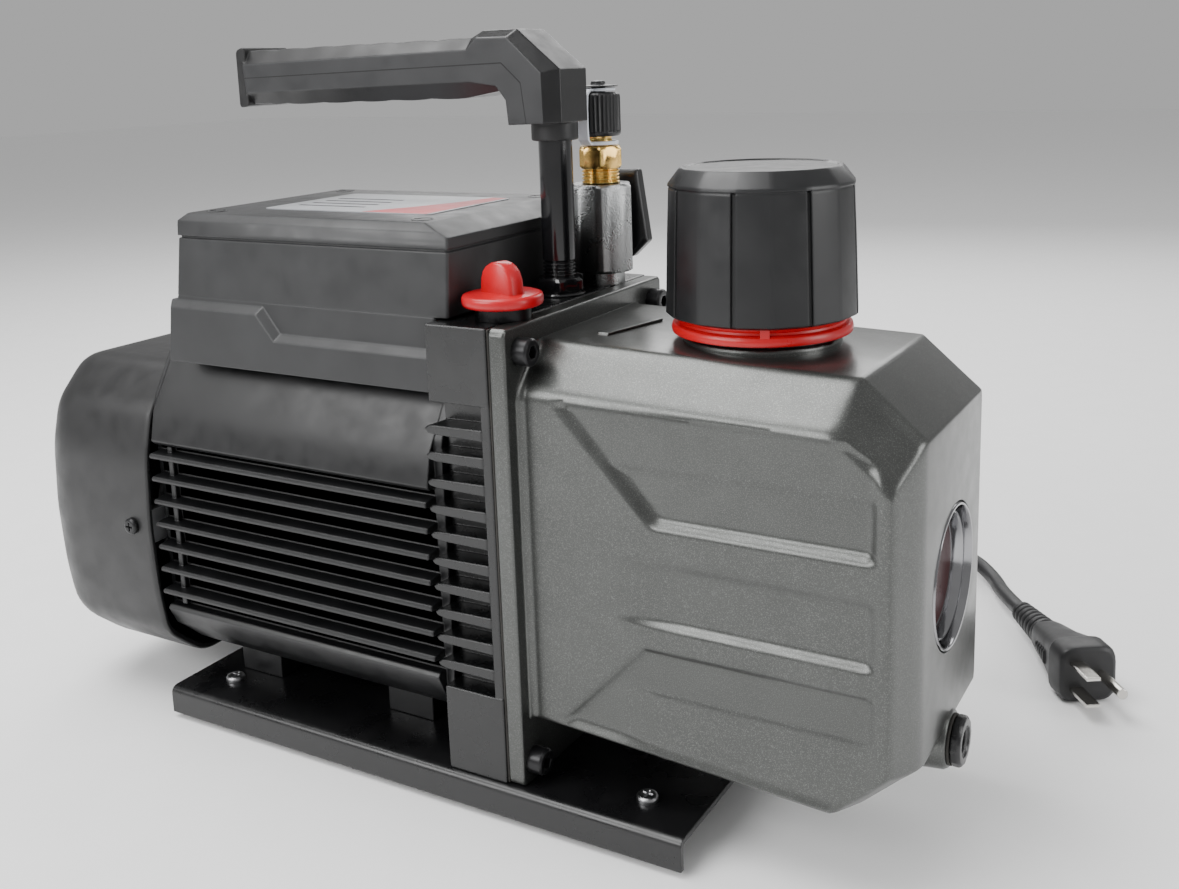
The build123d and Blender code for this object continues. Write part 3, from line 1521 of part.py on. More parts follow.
with BuildPart() as cap_strap:
    with BuildSketch(Plane.XY.offset(ring_low_z)):
        with Locations((inlet_x, inlet_y)):
            Circle(8.4)
            Circle(flare_r + 0.15, mode=Mode.SUBTRACT)
    extrude(amount=1.6)
    with BuildSketch(Plane.XY.offset(ring_high_z)):
        with Locations((inlet_x, inlet_y)):
            Circle(7.0)
            Circle(3.2, mode=Mode.SUBTRACT)
    extrude(amount=1.6)
    with BuildSketch(strap_side):
        with BuildLine():
            Polyline(
                (6.0, ring_low_z),
                (strap_r0 + strap_t, ring_low_z + 1.2),
                (strap_r0 + strap_t, ring_high_z + 0.8),
                (strap_r0 - 0.8, ring_high_z + 1.6),
                (4.5, ring_high_z + 1.6),
                (4.5, ring_high_z),
                (strap_r0, ring_high_z - 0.1),
                (strap_r0, ring_low_z + 2.6),
                (6.0, ring_low_z + 1.6),
                close=True,
            )
        make_face()
    extrude(amount=strap_w / 2, both=True)
cap_strap.part.label = "cap_strap"

with BuildPart() as isolation_lever:
    with BuildSketch(Plane(origin=(inlet_x, lever_y[1], 0), x_dir=(1, 0, 0), z_dir=(0, -1, 0))):
        with BuildLine():
            Polyline(*lever_outline, close=True)
        make_face()
    extrude(amount=lever_y[1] - lever_y[0])
    lever_rims = [e for e in isolation_lever.edges() if abs(e.center().Y - lever_y[1]) < 0.01]
    chamfer(lever_rims, length=1.5)
    with BuildSketch(xz_plane(lever_y[0])):
        with Locations((inlet_x, spindle_z)):
            Circle(spindle_r)
    extrude(amount=11.0)
isolation_lever.part.label = "isolation_lever"

# -------------------------------------------------------------- power cord
# From the gland down to the surface and along it to the coil, then from the
# coil to the plug. Each corner of a route becomes a tangent arc.
floor_z = cord_d / 2 + 0.05
coil_x = 38.0
coil_y = 225.0
coil_mid_r = 41.0
coil_out_r = coil_mid_r + 1.5 * cord_d
coil_in_r = coil_mid_r - 1.5 * cord_d
coil_top = 15.5
coil_exit_z = 10.9

plug_dir = Vector(0.547, -0.8355, 0.052).normalized()
plug_face = Vector(196.5, 135.3, 13.7)
plug_body_len = 48.0
plug_relief_len = 32.0
plug_end = plug_face - plug_dir * (plug_body_len + plug_relief_len)
plug_axis = plug_end - plug_dir * 26.0

route_to_coil = [
    (gland_x, pad_y + relief_len - 3.0, gland_z),
    (gland_x, 126.0, gland_z),
    (-127.0, 151.0, 174.0),
    (-124.0, 163.0, 134.0),
    (-120.0, 169.0, 92.0),
    (-113.0, 173.0, 54.0),
    (-100.0, 177.0, 24.0),
    (-77.0, 182.5, 6.5),
    (-53.0, 190.5, floor_z),
    (-34.5, 205.5, floor_z),
    (-22.0, 224.2, floor_z),
]
route_to_plug = [
    (74.0, coil_y + 45.0, coil_exit_z),
    (93.0, coil_y + 45.0, coil_exit_z),
    (114.0, 264.0, 8.4),
    (129.0, 248.0, 5.0),
    (plug_axis.X, plug_axis.Y, plug_axis.Z),
    (plug_end.X, plug_end.Y, plug_end.Z),
]
route_labels = ("to_coil", "to_plug")


def corner_radii(route):
    """Radius of each corner: 0.45 of its shorter run over tan(half the turn)."""
    radii = []
    for before, corner, after in zip(route, route[1:], route[2:]):
        run_in = Vector(*corner) - Vector(*before)
        run_out = Vector(*after) - Vector(*corner)
        half_turn = math.radians(run_in.get_angle(run_out) / 2)
        radii.append(0.45 * min(run_in.length, run_out.length) / math.tan(half_turn))
    return radii


def heading(route):
    """Direction of the first run of a route."""
    return (Vector(*route[1]) - Vector(*route[0])).normalized()


for label, route in zip(route_labels, (route_to_coil, route_to_plug)):
    rounded = [round(r) for r in corner_radii(route)]
    runs = [round((Vector(*b) - Vector(*a)).length, 1) for a, b in zip(route, route[1:])]
    print(label, "radii", rounded, "runs", runs, "mm")

cord_length = 0.0

with BuildPart() as power_cord:
    for route in (route_to_coil, route_to_plug):
        with BuildLine() as centre_line:
            FilletPolyline(*route, radius=corner_radii(route))
        cord_length += centre_line.wires()[0].length
        with BuildSketch(Plane(origin=route[0], z_dir=heading(route))):
            Circle(cord_d / 2)
        sweep(path=centre_line.wires()[0])
power_cord.part.label = "power_cord"
section_area = math.pi * (cord_d / 2) ** 2
print("cord tubes", round(cord_length, 1), "mm, volume ratio",
      round(power_cord.part.volume / (section_area * cord_length), 4))

entry_dir = Vector(*route_to_coil[-1]) - Vector(*route_to_coil[-2])
entry_len = 34.0

with BuildPart() as cord_coil:
    with BuildSketch(Plane.XY):
        with Locations((coil_x, coil_y)):
            Circle(coil_out_r)
            Circle(coil_in_r, mode=Mode.SUBTRACT)
    extrude(amount=coil_top)
    coil_rims = cord_coil.edges().filter_by(GeomType.CIRCLE)
    fillet(coil_rims, radius=3.8)
    with BuildSketch(Plane(origin=route_to_coil[-1], z_dir=entry_dir)):
        Circle(cord_d / 2)
    extrude(amount=entry_len)
    with BuildSketch(Plane(origin=route_to_plug[0], z_dir=(-1, 0, 0))):
        Circle(cord_d / 2)
    extrude(amount=route_to_plug[0][0] - coil_x)
cord_coil.part.label = "cord_coil"

# -------------------------------------------------------------------- plug
plug_side = Vector(-plug_dir.Y, plug_dir.X, 0).normalized()
plug_w = 27.5
plug_h = 27.0
blade_gap = 12.7
blade_w = 6.3
blade_t = 1.5
blade_len = 18.0
ground_len = 21.0
ground_r = 2.4
ground_shift = 5.95


def plug_plane(back):
    """Plane across the plug, a distance behind its face, normal to the prongs."""
    return Plane(origin=plug_face - plug_dir * back, x_dir=plug_side, z_dir=plug_dir)


with BuildPart() as plug_body:
    with BuildSketch(plug_plane(0.0)):
        RectangleRounded(plug_w, plug_h, 6.0)
    extrude(amount=-14.0)
    with BuildSketch(plug_plane(14.0)):
        RectangleRounded(plug_w, plug_h, 6.0)
    with BuildSketch(plug_plane(plug_body_len)):
        RectangleRounded(16.0, 15.0, 6.0)
    loft(ruled=True)
    with BuildSketch(plug_plane(plug_body_len)):
        Circle(7.4)
    with BuildSketch(plug_plane(plug_body_len + plug_relief_len)):
        Circle(cord_d / 2 + 1.2)
    loft()
plug_body.part.label = "plug_body"

with BuildPart() as plug_prongs:
    with BuildSketch(plug_plane(0.0)):
        with Locations((-ground_shift, -blade_gap / 2), (-ground_shift, blade_gap / 2)):
            Rectangle(blade_w, blade_t)
    extrude(amount=blade_len)
    with BuildSketch(plug_plane(0.0)):
        with Locations((ground_shift, 0)):
            Circle(ground_r)
    extrude(amount=ground_len)
plug_prongs.part.label = "plug_prongs"

# ------------------------------------------------------------------ export
assembly = (
    base_plate, rubber_feet, foot_screws, motor_housing, rear_end_shield,
    fan_cover, fan_cover_screws, cooling_fan, motor_shaft, motor_rotor,
    stator_core, stator_windings, motor_bearings, terminal_box,
    terminal_box_lid, lid_screws, rating_plate, run_capacitor,
    terminal_block, switch_housing, switch_rocker, cord_gland, pump_bracket,
    plate_bolts, oil_case, case_gasket, flange_bolts, shaft_coupling,
    shaft_seal, rear_end_plate, high_stage_cylinder, centre_plate,
    low_stage_cylinder, front_end_plate, pump_rotor, vanes, valve_flap,
    pump_bolts, ballast_seat, ballast_knob, exhaust_neck,
    exhaust_seal_ring, exhaust_filter, exhaust_cap, sight_bezel,
    sight_glass, drain_seal, drain_plug, handle_post, handle_nut,
    handle_grip, inlet_body, inlet_flare, inlet_cap, cap_strap,
    isolation_lever, power_cord, cord_coil, plug_body, plug_prongs,
)
# The pieces are drawn about the bracket, and written with the origin on the
# ground under the middle of the body, cord left out.
body_front = drain_boss_x + drain_seal_t + drain_head_gap + drain_head_h
middle = Location((-(cover_x_rear + body_front) / 2, 0, 0))
for piece in assembly:
    name = piece.part.label
    placed = piece.part.moved(middle)
    placed.label = name
    export_step(placed, f"parts/{name}.step")
print("shift", -(cover_x_rear + body_front) / 2)
print(len(assembly), "pieces")
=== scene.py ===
import json
import math

import bmesh
import bpy
from mathutils import Matrix, Vector
from mathutils.geometry import tessellate_polygon


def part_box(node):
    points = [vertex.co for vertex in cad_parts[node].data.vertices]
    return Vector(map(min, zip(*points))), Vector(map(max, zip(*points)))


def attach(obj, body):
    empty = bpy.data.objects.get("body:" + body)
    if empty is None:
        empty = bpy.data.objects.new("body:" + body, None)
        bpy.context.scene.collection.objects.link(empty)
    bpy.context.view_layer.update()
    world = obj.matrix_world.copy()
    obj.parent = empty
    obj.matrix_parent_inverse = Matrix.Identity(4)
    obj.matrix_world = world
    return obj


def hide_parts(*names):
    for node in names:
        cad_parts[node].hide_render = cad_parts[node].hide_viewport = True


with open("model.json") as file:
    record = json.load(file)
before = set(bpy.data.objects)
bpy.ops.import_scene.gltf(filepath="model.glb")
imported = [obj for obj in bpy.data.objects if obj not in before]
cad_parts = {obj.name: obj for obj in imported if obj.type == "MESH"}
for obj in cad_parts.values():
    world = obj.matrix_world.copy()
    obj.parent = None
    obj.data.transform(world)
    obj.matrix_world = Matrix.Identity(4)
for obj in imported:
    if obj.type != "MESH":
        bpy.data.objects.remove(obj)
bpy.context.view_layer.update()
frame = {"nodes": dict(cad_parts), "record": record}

# Sizes are in millimetres in the drawing's own frame: x = 0 lies in the pump
# bracket, y = 0 on the shaft, z = 0 under the feet. at() takes them to the frame.
MM = 0.001
FLANGE_BACK = 7.6
FLANGE_FRONT = 15.0
SHAFT_Z = 94.5
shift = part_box("oil_case")[0].x / MM - FLANGE_BACK


def at(x, y, z):
    return Vector(((x + shift) * MM, y * MM, z * MM))


# ---- materials
def link(tree, source, target):
    tree.links.new(source, target)


def noise(tree, coords, scale, detail=3.0):
    node = tree.nodes.new("ShaderNodeTexNoise")
    node.inputs["Scale"].default_value = scale
    node.inputs["Detail"].default_value = detail
    link(tree, coords, node.inputs["Vector"])
    return node.outputs["Fac"]


def ranged(tree, value, low, high, out_low, out_high):
    node = tree.nodes.new("ShaderNodeMapRange")
    for name, number in zip(("From Min", "From Max", "To Min", "To Max"),
                            (low, high, out_low, out_high)):
        node.inputs[name].default_value = number
    link(tree, value, node.inputs["Value"])
    return node.outputs["Result"]


def mixed(tree, factor, first, second):
    node = tree.nodes.new("ShaderNodeMix")
    node.data_type = "RGBA"
    link(tree, factor, node.inputs["Factor"])
    for socket, colour in ((node.inputs["A"], first), (node.inputs["B"], second)):
        if isinstance(colour, tuple):
            socket.default_value = (*colour, 1.0)
        else:
            link(tree, colour, socket)
    return node.outputs["Result"]


def scaled(colour, amount):
    return tuple(min(1.0, channel * amount) for channel in colour)


def surface(name, base, rough, metallic=0.0, grain=1400.0, bump=0.12, depth=0.05,
            spread=0.18, painted_edge_highlight=0.5, edge=0.9, coat=0.0, coat_rough=0.2, flakes=0.0,
            stretch=(1, 1, 1), specular=0.5, rough_spread=0.07):
    """A procedural finish: cloudy colour, fine grain, uneven gloss, and a painted highlight that
    lightens every edge.
    """
    material = bpy.data.materials.new(name)
    material.use_nodes = True
    tree = material.node_tree
    shader = tree.nodes["Principled BSDF"]
    coords = tree.nodes.new("ShaderNodeTexCoord").outputs["Object"]
    mapping = tree.nodes.new("ShaderNodeMapping")
    mapping.inputs["Scale"].default_value = stretch
    link(tree, coords, mapping.inputs["Vector"])
    placed = mapping.outputs["Vector"]
    cloud = noise(tree, placed, 38.0)
    fine = noise(tree, placed, grain, 2.0)
    colour = mixed(tree, ranged(tree, cloud, 0.3, 0.7, 0.0, 1.0),
                   scaled(base, 1.0 - spread), scaled(base, 1.0 + spread))
    if flakes:
        spark = ranged(tree, noise(tree, placed, grain * 0.85, 0.0), 0.56, 0.72, 0.0, flakes)
        colour = mixed(tree, spark, colour, scaled(base, 3.4))
    # Painted highlight: edges found by the bevel node get a lighter base colour, standing in for
    # light caught on rounded edges.
    if painted_edge_highlight:
        bevel = tree.nodes.new("ShaderNodeBevel")
        bevel.samples = 4
        bevel.inputs["Radius"].default_value = edge * MM
        geometry = tree.nodes.new("ShaderNodeNewGeometry")
        dot = tree.nodes.new("ShaderNodeVectorMath")
        dot.operation = "DOT_PRODUCT"
        link(tree, bevel.outputs["Normal"], dot.inputs[0])
        link(tree, geometry.outputs["Normal"], dot.inputs[1])
        painted_edge_mask = ranged(tree, dot.outputs["Value"], 0.99, 0.86, 0.0, painted_edge_highlight)
        colour = mixed(tree, painted_edge_mask, colour, scaled(base, 1.9))
    link(tree, colour, shader.inputs["Base Color"])
    gloss = ranged(tree, noise(tree, placed, 95.0), 0.3, 0.7, rough - rough_spread,
                   min(1.0, rough + rough_spread))
    link(tree, gloss, shader.inputs["Roughness"])
    shader.inputs["Metallic"].default_value = metallic
    shader.inputs["Specular IOR Level"].default_value = specular
    shader.inputs["Coat Weight"].default_value = coat
    shader.inputs["Coat Roughness"].default_value = coat_rough
    relief = tree.nodes.new("ShaderNodeBump")
    relief.inputs["Strength"].default_value = bump
    relief.inputs["Distance"].default_value = depth * MM
    link(tree, fine, relief.inputs["Height"])
    if painted_edge_highlight:
        link(tree, bevel.outputs["Normal"], relief.inputs["Normal"])
    link(tree, relief.outputs["Normal"], shader.inputs["Normal"])
    return material


finish = {
    "black_sheet": surface("sheet_black", (0.005, 0.005, 0.0055), 0.3, bump=0.08, coat=0.2),
    "foot_rubber": surface("rubber_feet_black", (0.02, 0.02, 0.02), 0.75, bump=0.35, depth=0.1),
    "screw_steel": surface("screw_zinc", (0.42, 0.42, 0.43), 0.32, 1.0, bump=0.1),
    "black_screw": surface("screw_black_oxide", (0.012, 0.012, 0.013), 0.3, 0.4, bump=0.1),
    "motor_paint": surface("motor_satin_black", (0.0075, 0.0077, 0.0083), 0.36, bump=0.16,
                           depth=0.06, painted_edge_highlight=0.7),
    "shield_aluminium": surface("cast_aluminium", (0.5, 0.51, 0.52), 0.5, 1.0, bump=0.5),
    "cover_plastic": surface("cover_moulded_black", (0.012, 0.012, 0.0125), 0.42, bump=0.22,
                             depth=0.06, painted_edge_highlight=0.5),
    "box_plastic": surface("box_moulded_charcoal", (0.023, 0.0235, 0.0245), 0.44, bump=0.25,
                           depth=0.06, painted_edge_highlight=0.55),
    "fan_plastic": surface("fan_moulded", (0.05, 0.05, 0.055), 0.5),
    "shaft_steel": surface("ground_steel", (0.5, 0.51, 0.52), 0.28, 1.0, grain=700.0,
                           stretch=(0.2, 3, 3)),
    "lamination": surface("laminated_steel", (0.28, 0.28, 0.3), 0.4, 1.0, grain=900.0,
                          stretch=(6, 0.3, 0.3)),
    "copper_winding": surface("varnished_copper", (0.55, 0.2, 0.07), 0.35, 0.8, grain=500.0,
                              bump=0.5, depth=0.3),
    "label_silver": surface("label_foil", (0.4, 0.41, 0.43), 0.35, 0.3, painted_edge_highlight=0.0),
    "capacitor_can": surface("capacitor_black", (0.05, 0.05, 0.055), 0.45),
    "block_plastic": surface("terminal_cream", (0.6, 0.57, 0.5), 0.5),
    "switch_black": surface("switch_gloss_black", (0.01, 0.01, 0.01), 0.22),
    "switch_red": surface("switch_gloss_red", (0.5, 0.01, 0.01), 0.25, coat=0.3),
    "gland_rubber": surface("cord_rubber_black", (0.012, 0.012, 0.013), 0.45, bump=0.3,
                            depth=0.08, painted_edge_highlight=0.3),
    "bracket_paint": surface("bracket_satin_black", (0.0045, 0.0047, 0.005), 0.26, bump=0.3,
                             depth=0.08, painted_edge_highlight=0.6, coat=0.15),
    "case_paint": surface("case_metallic_grey", (0.078, 0.0805, 0.077), 0.33, 0.85, grain=3600.0,
                          bump=0.2, depth=0.03, spread=0.05, painted_edge_highlight=0.4, coat=0.3,
                          coat_rough=0.2, flakes=0.3, rough_spread=0.04),
    "gasket_fibre": surface("gasket_dark", (0.03, 0.028, 0.025), 0.8, bump=0.4),
    "pump_iron": surface("machined_iron", (0.25, 0.25, 0.25), 0.4, 1.0, grain=600.0, bump=0.3),
    "coupling_plastic": surface("coupling_grey", (0.1, 0.1, 0.11), 0.45),
    "vane_composite": surface("vane_brown", (0.06, 0.04, 0.025), 0.5),
    "seat_metal": surface("turned_steel_blacked", (0.01, 0.01, 0.011), 0.3, 0.6),
    "red_plastic": surface("knob_red", (0.5, 0.001, 0.008), 0.36, bump=0.06, coat=0.1,
                           spread=0.06, painted_edge_highlight=0.0),
    "red_ring": surface("ring_red", (0.5, 0.001, 0.005), 0.34, bump=0.05, coat=0.1,
                        spread=0.05, painted_edge_highlight=0.0),
    "cap_plastic": surface("cap_moulded_black", (0.0085, 0.0088, 0.0095), 0.36, bump=0.16,
                           depth=0.05, painted_edge_highlight=0.6),
    "filter_media": surface("felt_white", (0.7, 0.7, 0.66), 0.9, bump=0.8, depth=0.3),
    "bezel_chrome": surface("chrome_ring", (0.3, 0.3, 0.31), 0.14, 1.0, bump=0.03,
                            painted_edge_highlight=0.0, rough_spread=0.03),
    "sight_glass": surface("glass_over_oil", (0.03, 0.003, 0.004), 0.3, bump=0.02, painted_edge_highlight=0.0,
                           specular=0.08, rough_spread=0.03),
    "drain_plastic": surface("drain_black", (0.012, 0.012, 0.013), 0.28),
    "post_paint": surface("post_gloss_black", (0.006, 0.006, 0.007), 0.16, bump=0.05,
                          coat=0.6, coat_rough=0.06, painted_edge_highlight=0.3, rough_spread=0.04),
    "grip_plastic": surface("grip_charcoal", (0.026, 0.0265, 0.028), 0.42, bump=0.2,
                            depth=0.05, painted_edge_highlight=0.5),
    "zinc_steel": surface("zinc_blasted", (0.27, 0.275, 0.275), 0.3, 1.0, grain=1500.0,
                          bump=0.7, depth=0.25, spread=0.12, painted_edge_highlight=0.4),
    "fitting_brass": surface("turned_brass", (0.78, 0.5, 0.16), 0.22, 1.0, bump=0.08,
                             stretch=(1, 1, 4), painted_edge_highlight=0.4),
    "cap_black": surface("knurled_black", (0.012, 0.012, 0.013), 0.35, bump=0.1, painted_edge_highlight=0.5),
    "strap_white": surface("strap_milky", (0.72, 0.75, 0.8), 0.35, bump=0.05, painted_edge_highlight=0.0,
                           coat=0.2),
    "prong_nickel": surface("nickel_prongs", (0.62, 0.6, 0.56), 0.2, 1.0, bump=0.08),
}
bevel_gloss = surface("grip_bevel_gloss", (0.006, 0.006, 0.0065), 0.2, coat=0.4, painted_edge_highlight=0.2)
grip_dark = surface("grip_top_satin", (0.01, 0.01, 0.0105), 0.4, bump=0.22, painted_edge_highlight=0.4)
seam_dark = surface("seam_shadow", (0.004, 0.004, 0.004), 0.7, painted_edge_highlight=0.0)
label_red = surface("label_red_ink", (0.5, 0.03, 0.04), 0.35, painted_edge_highlight=0.0)
floor_white = surface("floor_pale", (0.96, 0.96, 0.96), 0.7, bump=0.02, spread=0.01, painted_edge_highlight=0.0)

for entry in frame["record"]["subparts"]:
    cad_node = frame["nodes"][entry["node"]]
    cad_node.data.materials.clear()
    cad_node.data.materials.append(finish[entry["material_slot"]])


# ---- mesh helpers
def built_mesh(name, shapes):
    """One mesh of closed shapes, each (points in mm, faces[, material index or list])."""
    points, faces, picks = [], [], []
    for shape in shapes:
        base = len(points)
        points += [at(*p) for p in shape[0]]
        faces += [[base + i for i in face] for face in shape[1]]
        chosen = shape[2] if len(shape) > 2 else 0
        picks += chosen if isinstance(chosen, list) else [chosen] * len(shape[1])
    mesh = bpy.data.meshes.new(name)
    mesh.from_pydata(points, [], faces)
    mesh.polygons.foreach_set("material_index", picks)
    work = bmesh.new()
    work.from_mesh(mesh)
    bmesh.ops.recalc_face_normals(work, faces=work.faces)
    work.to_mesh(mesh)
    work.free()
    return mesh


def placed_object(name, data):
    thing = bpy.data.objects.new(name, data)
    bpy.context.scene.collection.objects.link(thing)
    return thing


BEVEL_FROM = math.radians(28.0)


def piece(name, shapes, body, slot, stands_for=(), bevel=0.0, segments=2, angle=32.0,
          materials=None):
    """One visual piece: its mesh, its finish, its soft edges, and the nodes it replaces."""
    mesh = built_mesh(name, shapes)
    for material in materials or [finish[slot]]:
        mesh.materials.append(material)
    mesh.polygons.foreach_set("use_smooth", [True] * len(mesh.polygons))
    mesh.set_sharp_from_angle(angle=math.radians(angle))
    thing = placed_object(name, mesh)
    if bevel:
        rounding = thing.modifiers.new("edges", "BEVEL")
        rounding.width = bevel * MM
        rounding.segments = segments
        rounding.limit_method = "ANGLE"
        rounding.angle_limit = BEVEL_FROM
        rounding.harden_normals = True
    if stands_for:
        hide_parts(*stands_for)
    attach(thing, body)
    return thing


def loft(rings, capped=True):
    """Joins rings of equally many points; the two end rings are filled."""
    count = len(rings[0])
    points = [p for ring in rings for p in ring]
    faces = []
    for row in range(len(rings) - 1):
        low, high = row * count, (row + 1) * count
        for i in range(count):
            j = (i + 1) % count
            faces.append([low + i, low + j, high + j, high + i])
    if capped:
        faces.append(list(range(count)))
        faces.append([(len(rings) - 1) * count + i for i in range(count)])
    return points, faces


def along_y(outline, y0, y1):
    return loft([[(x, y, z) for x, z in outline] for y in (y0, y1)])


def along_x(outline, x0, x1):
    return loft([[(x, y, z) for y, z in outline] for x in (x0, x1)])


def along_z(outline, z0, z1):
    return loft([[(x, y, z) for x, y in outline] for z in (z0, z1)])


def block(x0, x1, y0, y1, z0, z1):
    return along_z([(x0, y0), (x1, y0), (x1, y1), (x0, y1)], z0, z1)


def mirrored(half):
    """Closes an outline given for one side, (y, z) with y > 0."""
    return half + [(-y, z) for y, z in reversed(half)]


def rounded(outline, radius, steps=4):
    """Replaces each corner of a closed outline by a short arc."""
    result = []
    count = len(outline)
    for i, corner in enumerate(outline):
        here = Vector(corner)
        back = (Vector(outline[i - 1]) - here)
        ahead = (Vector(outline[(i + 1) % count]) - here)
        reach = min(radius, back.length * 0.45, ahead.length * 0.45)
        start = here + back.normalized() * reach
        end = here + ahead.normalized() * reach
        for step in range(steps + 1):
            t = step / steps
            spot = start * (1 - t) ** 2 + here * 2 * t * (1 - t) + end * t * t
            result.append((spot.x, spot.y))
    return result


def polar(radius, count=64):
    step = 2 * math.pi / count
    return [(radius * math.cos(i * step), radius * math.sin(i * step)) for i in range(count)]


def lathe_z(profile, x, y, count=64):
    """Turned shape about a vertical axis; profile is a list of (radius, z)."""
    return loft([[(x + a, y + b, z) for a, b in polar(r, count)] for r, z in profile])


def lathe_x(profile, y, z, count=64):
    """Turned shape about an axis along X; profile is a list of (radius, x)."""
    return loft([[(x, y + a, z + b) for a, b in polar(r, count)] for r, x in profile])


HEX_STEPS, HEX_CUT = 48, 0.3


def chamfered_hex(x, y, flats, z0, z1, cut):
    """A hexagon whose corners are turned down at both ends."""
    sector = math.pi / 3
    rings = []
    for z, turned in ((z0, True), (z0 + cut, False), (z1 - cut, False), (z1, True)):
        ring = []
        for i in range(HEX_STEPS):
            a = 2 * math.pi * i / HEX_STEPS
            reach = flats / 2 / math.cos(a % sector - sector / 2)
            if turned:
                reach = min(reach, flats / 2 - HEX_CUT)
            ring.append((x + reach * math.cos(a), y + reach * math.sin(a), z))
        rings.append(ring)
    return loft(rings)


def smooth_step(value, width):
    """Rises from 0 to 1 over a width that is centred on value 0."""
    t = max(0.0, min(1.0, value / width + 0.5))
    return t * t * (3 - 2 * t)


# ---- stage, camera
AZIMUTH = math.radians(30.362)
ELEVATION = math.radians(11.396)
ROLL = math.radians(-1.929)
camera_data = bpy.data.cameras.new("camera")
camera_data.sensor_width = 36.0
camera_data.lens = 38.63
camera_data.shift_y = -0.1077
camera_data.clip_start = 0.01
camera = placed_object("camera", camera_data)
back = Vector((math.sin(AZIMUTH) * math.cos(ELEVATION),
               -math.cos(AZIMUTH) * math.cos(ELEVATION), math.sin(ELEVATION)))
level = Vector((0, 0, 1)).cross(back).normalized()
upward = back.cross(level)
right = level * math.cos(ROLL) + upward * math.sin(ROLL)
above = upward * math.cos(ROLL) - level * math.sin(ROLL)
axes = Matrix((right, above, back)).transposed().to_4x4()
EYE = (274.8, -444.3, 299.2)
camera.matrix_world = Matrix.Translation(at(*EYE)) @ axes
bpy.context.scene.camera = camera


def softbox(name, spot, target, width, height, power):
    """An area lamp; spot, target and sizes are in metres."""
    data = bpy.data.lights.new(name, "AREA")
    data.shape = "RECTANGLE"
    data.size = width
    data.size_y = height
    data.energy = power
    lamp = placed_object(name, data)
    lamp.location = spot
    lamp.rotation_euler = (Vector(target) - Vector(spot)).to_track_quat("-Z", "Y").to_euler()


softbox("key", (-0.55, -1.15, 0.85), (-0.05, 0, 0.14), 1.1, 0.6, 15.0)
softbox("top", (-0.4, -0.25, 1.45), (0, 0, 0.15), 1.3, 0.9, 26.0)
softbox("side", (1.35, 0.15, 0.6), (0.1, 0, 0.12), 0.6, 0.8, 8.0)
softbox("rear", (-0.3, 1.25, 0.9), (0, 0, 0.15), 1.4, 0.5, 10.0)
world = bpy.data.worlds.new("studio")
bpy.context.scene.world = world
world.use_nodes = True
world.node_tree.nodes["Background"].inputs["Color"].default_value = (1.0, 1.0, 1.0, 1.0)
world.node_tree.nodes["Background"].inputs["Strength"].default_value = 0.45

FLOOR_HALF, FLOOR_LEVEL = 6.0, -0.0002
floor_mesh = bpy.data.meshes.new("floor")
floor_mesh.from_pydata(
    [(a * FLOOR_HALF, b * FLOOR_HALF, FLOOR_LEVEL)
     for a, b in ((-1, -1), (1, -1), (1, 1), (-1, 1))], [], [(0, 1, 2, 3)])
floor_mesh.materials.append(floor_white)
floor = placed_object("floor", floor_mesh)

# ---- cord
CORD_D = 8.0
GLAND_X, GLAND_Z = -128.0, 192.0
CORD_EXIT_Y = 93.5
PAD_Y = 62.5
COIL_X, COIL_Y = 38.0, 225.0
COIL_OUTER_R, COIL_MIDDLE_R = 49.0, 41.0
COIL_START = 146.3
CROSSING_LIFT = 1.2
FLOOR_Z = CORD_D / 2 + 0.05
TOP_LAYER = FLOOR_Z + CORD_D * math.sqrt(3) / 2
plug_dir = Vector((0.547, -0.8355, 0.052)).normalized()
plug_face = Vector((196.5, 135.3, 13.7))
PLUG_LEN, PLUG_RELIEF = 48.0, 32.0
plug_end = plug_face - plug_dir * (PLUG_LEN + PLUG_RELIEF)
plug_axis = plug_end - plug_dir * 26.0

route_to_coil = [
    (GLAND_X, CORD_EXIT_Y, GLAND_Z), (GLAND_X, 126.0, GLAND_Z), (-127.0, 151.0, 174.0),
    (-124.0, 163.0, 134.0), (-120.0, 169.0, 92.0), (-113.0, 173.0, 54.0),
    (-100.0, 177.0, 24.0), (-77.0, 182.5, 6.5), (-53.0, 190.5, FLOOR_Z),
    (-34.5, 205.5, FLOOR_Z), (-22.0, 224.2, FLOOR_Z),
]
route_to_plug = [
    (74.0, 270.0, 11.4), (93.0, 270.0, 10.4), (114.0, 264.0, 8.4), (129.0, 248.0, 5.6),
    tuple(plug_axis), tuple(plug_end),
]


def coil_radius_height(turn):
    """Stepped winding: rings on the floor from the outside in, then a layer in their grooves."""
    if turn < 2.5:
        ring = int(turn)
        part = turn - ring
        return COIL_OUTER_R - CORD_D * (ring + smooth_step(part - 0.88, 0.24)), FLOOR_Z
    if turn < 2.9:
        lift = math.radians(180.0 - 60.0 * smooth_step(turn - 2.7, 0.4))
        return COIL_MIDDLE_R + CORD_D * math.cos(lift), FLOOR_Z + CORD_D * math.sin(lift)
    step = smooth_step(turn - 3.6, 0.24)
    hump = CROSSING_LIFT * math.sin(math.pi * step)
    rise = CROSSING_LIFT * smooth_step(turn - 4.05, 0.2)
    return COIL_MIDDLE_R - CORD_D / 2 + CORD_D * step, TOP_LAYER + hump + rise


COIL_STEPS = 32
COIL_TURNS = 4 + (COIL_START - 90.0) / 360.0
coil_points = []
for step in range(1, int(COIL_TURNS * COIL_STEPS) + 1):
    turn = step / COIL_STEPS
    angle = math.radians(COIL_START - 360.0 * turn)
    radius, height = coil_radius_height(turn)
    coil_points.append((COIL_X + radius * math.cos(angle), COIL_Y + radius * math.sin(angle),
                        height))
coil_points.append((56.0, 270.0, TOP_LAYER + 1.3))

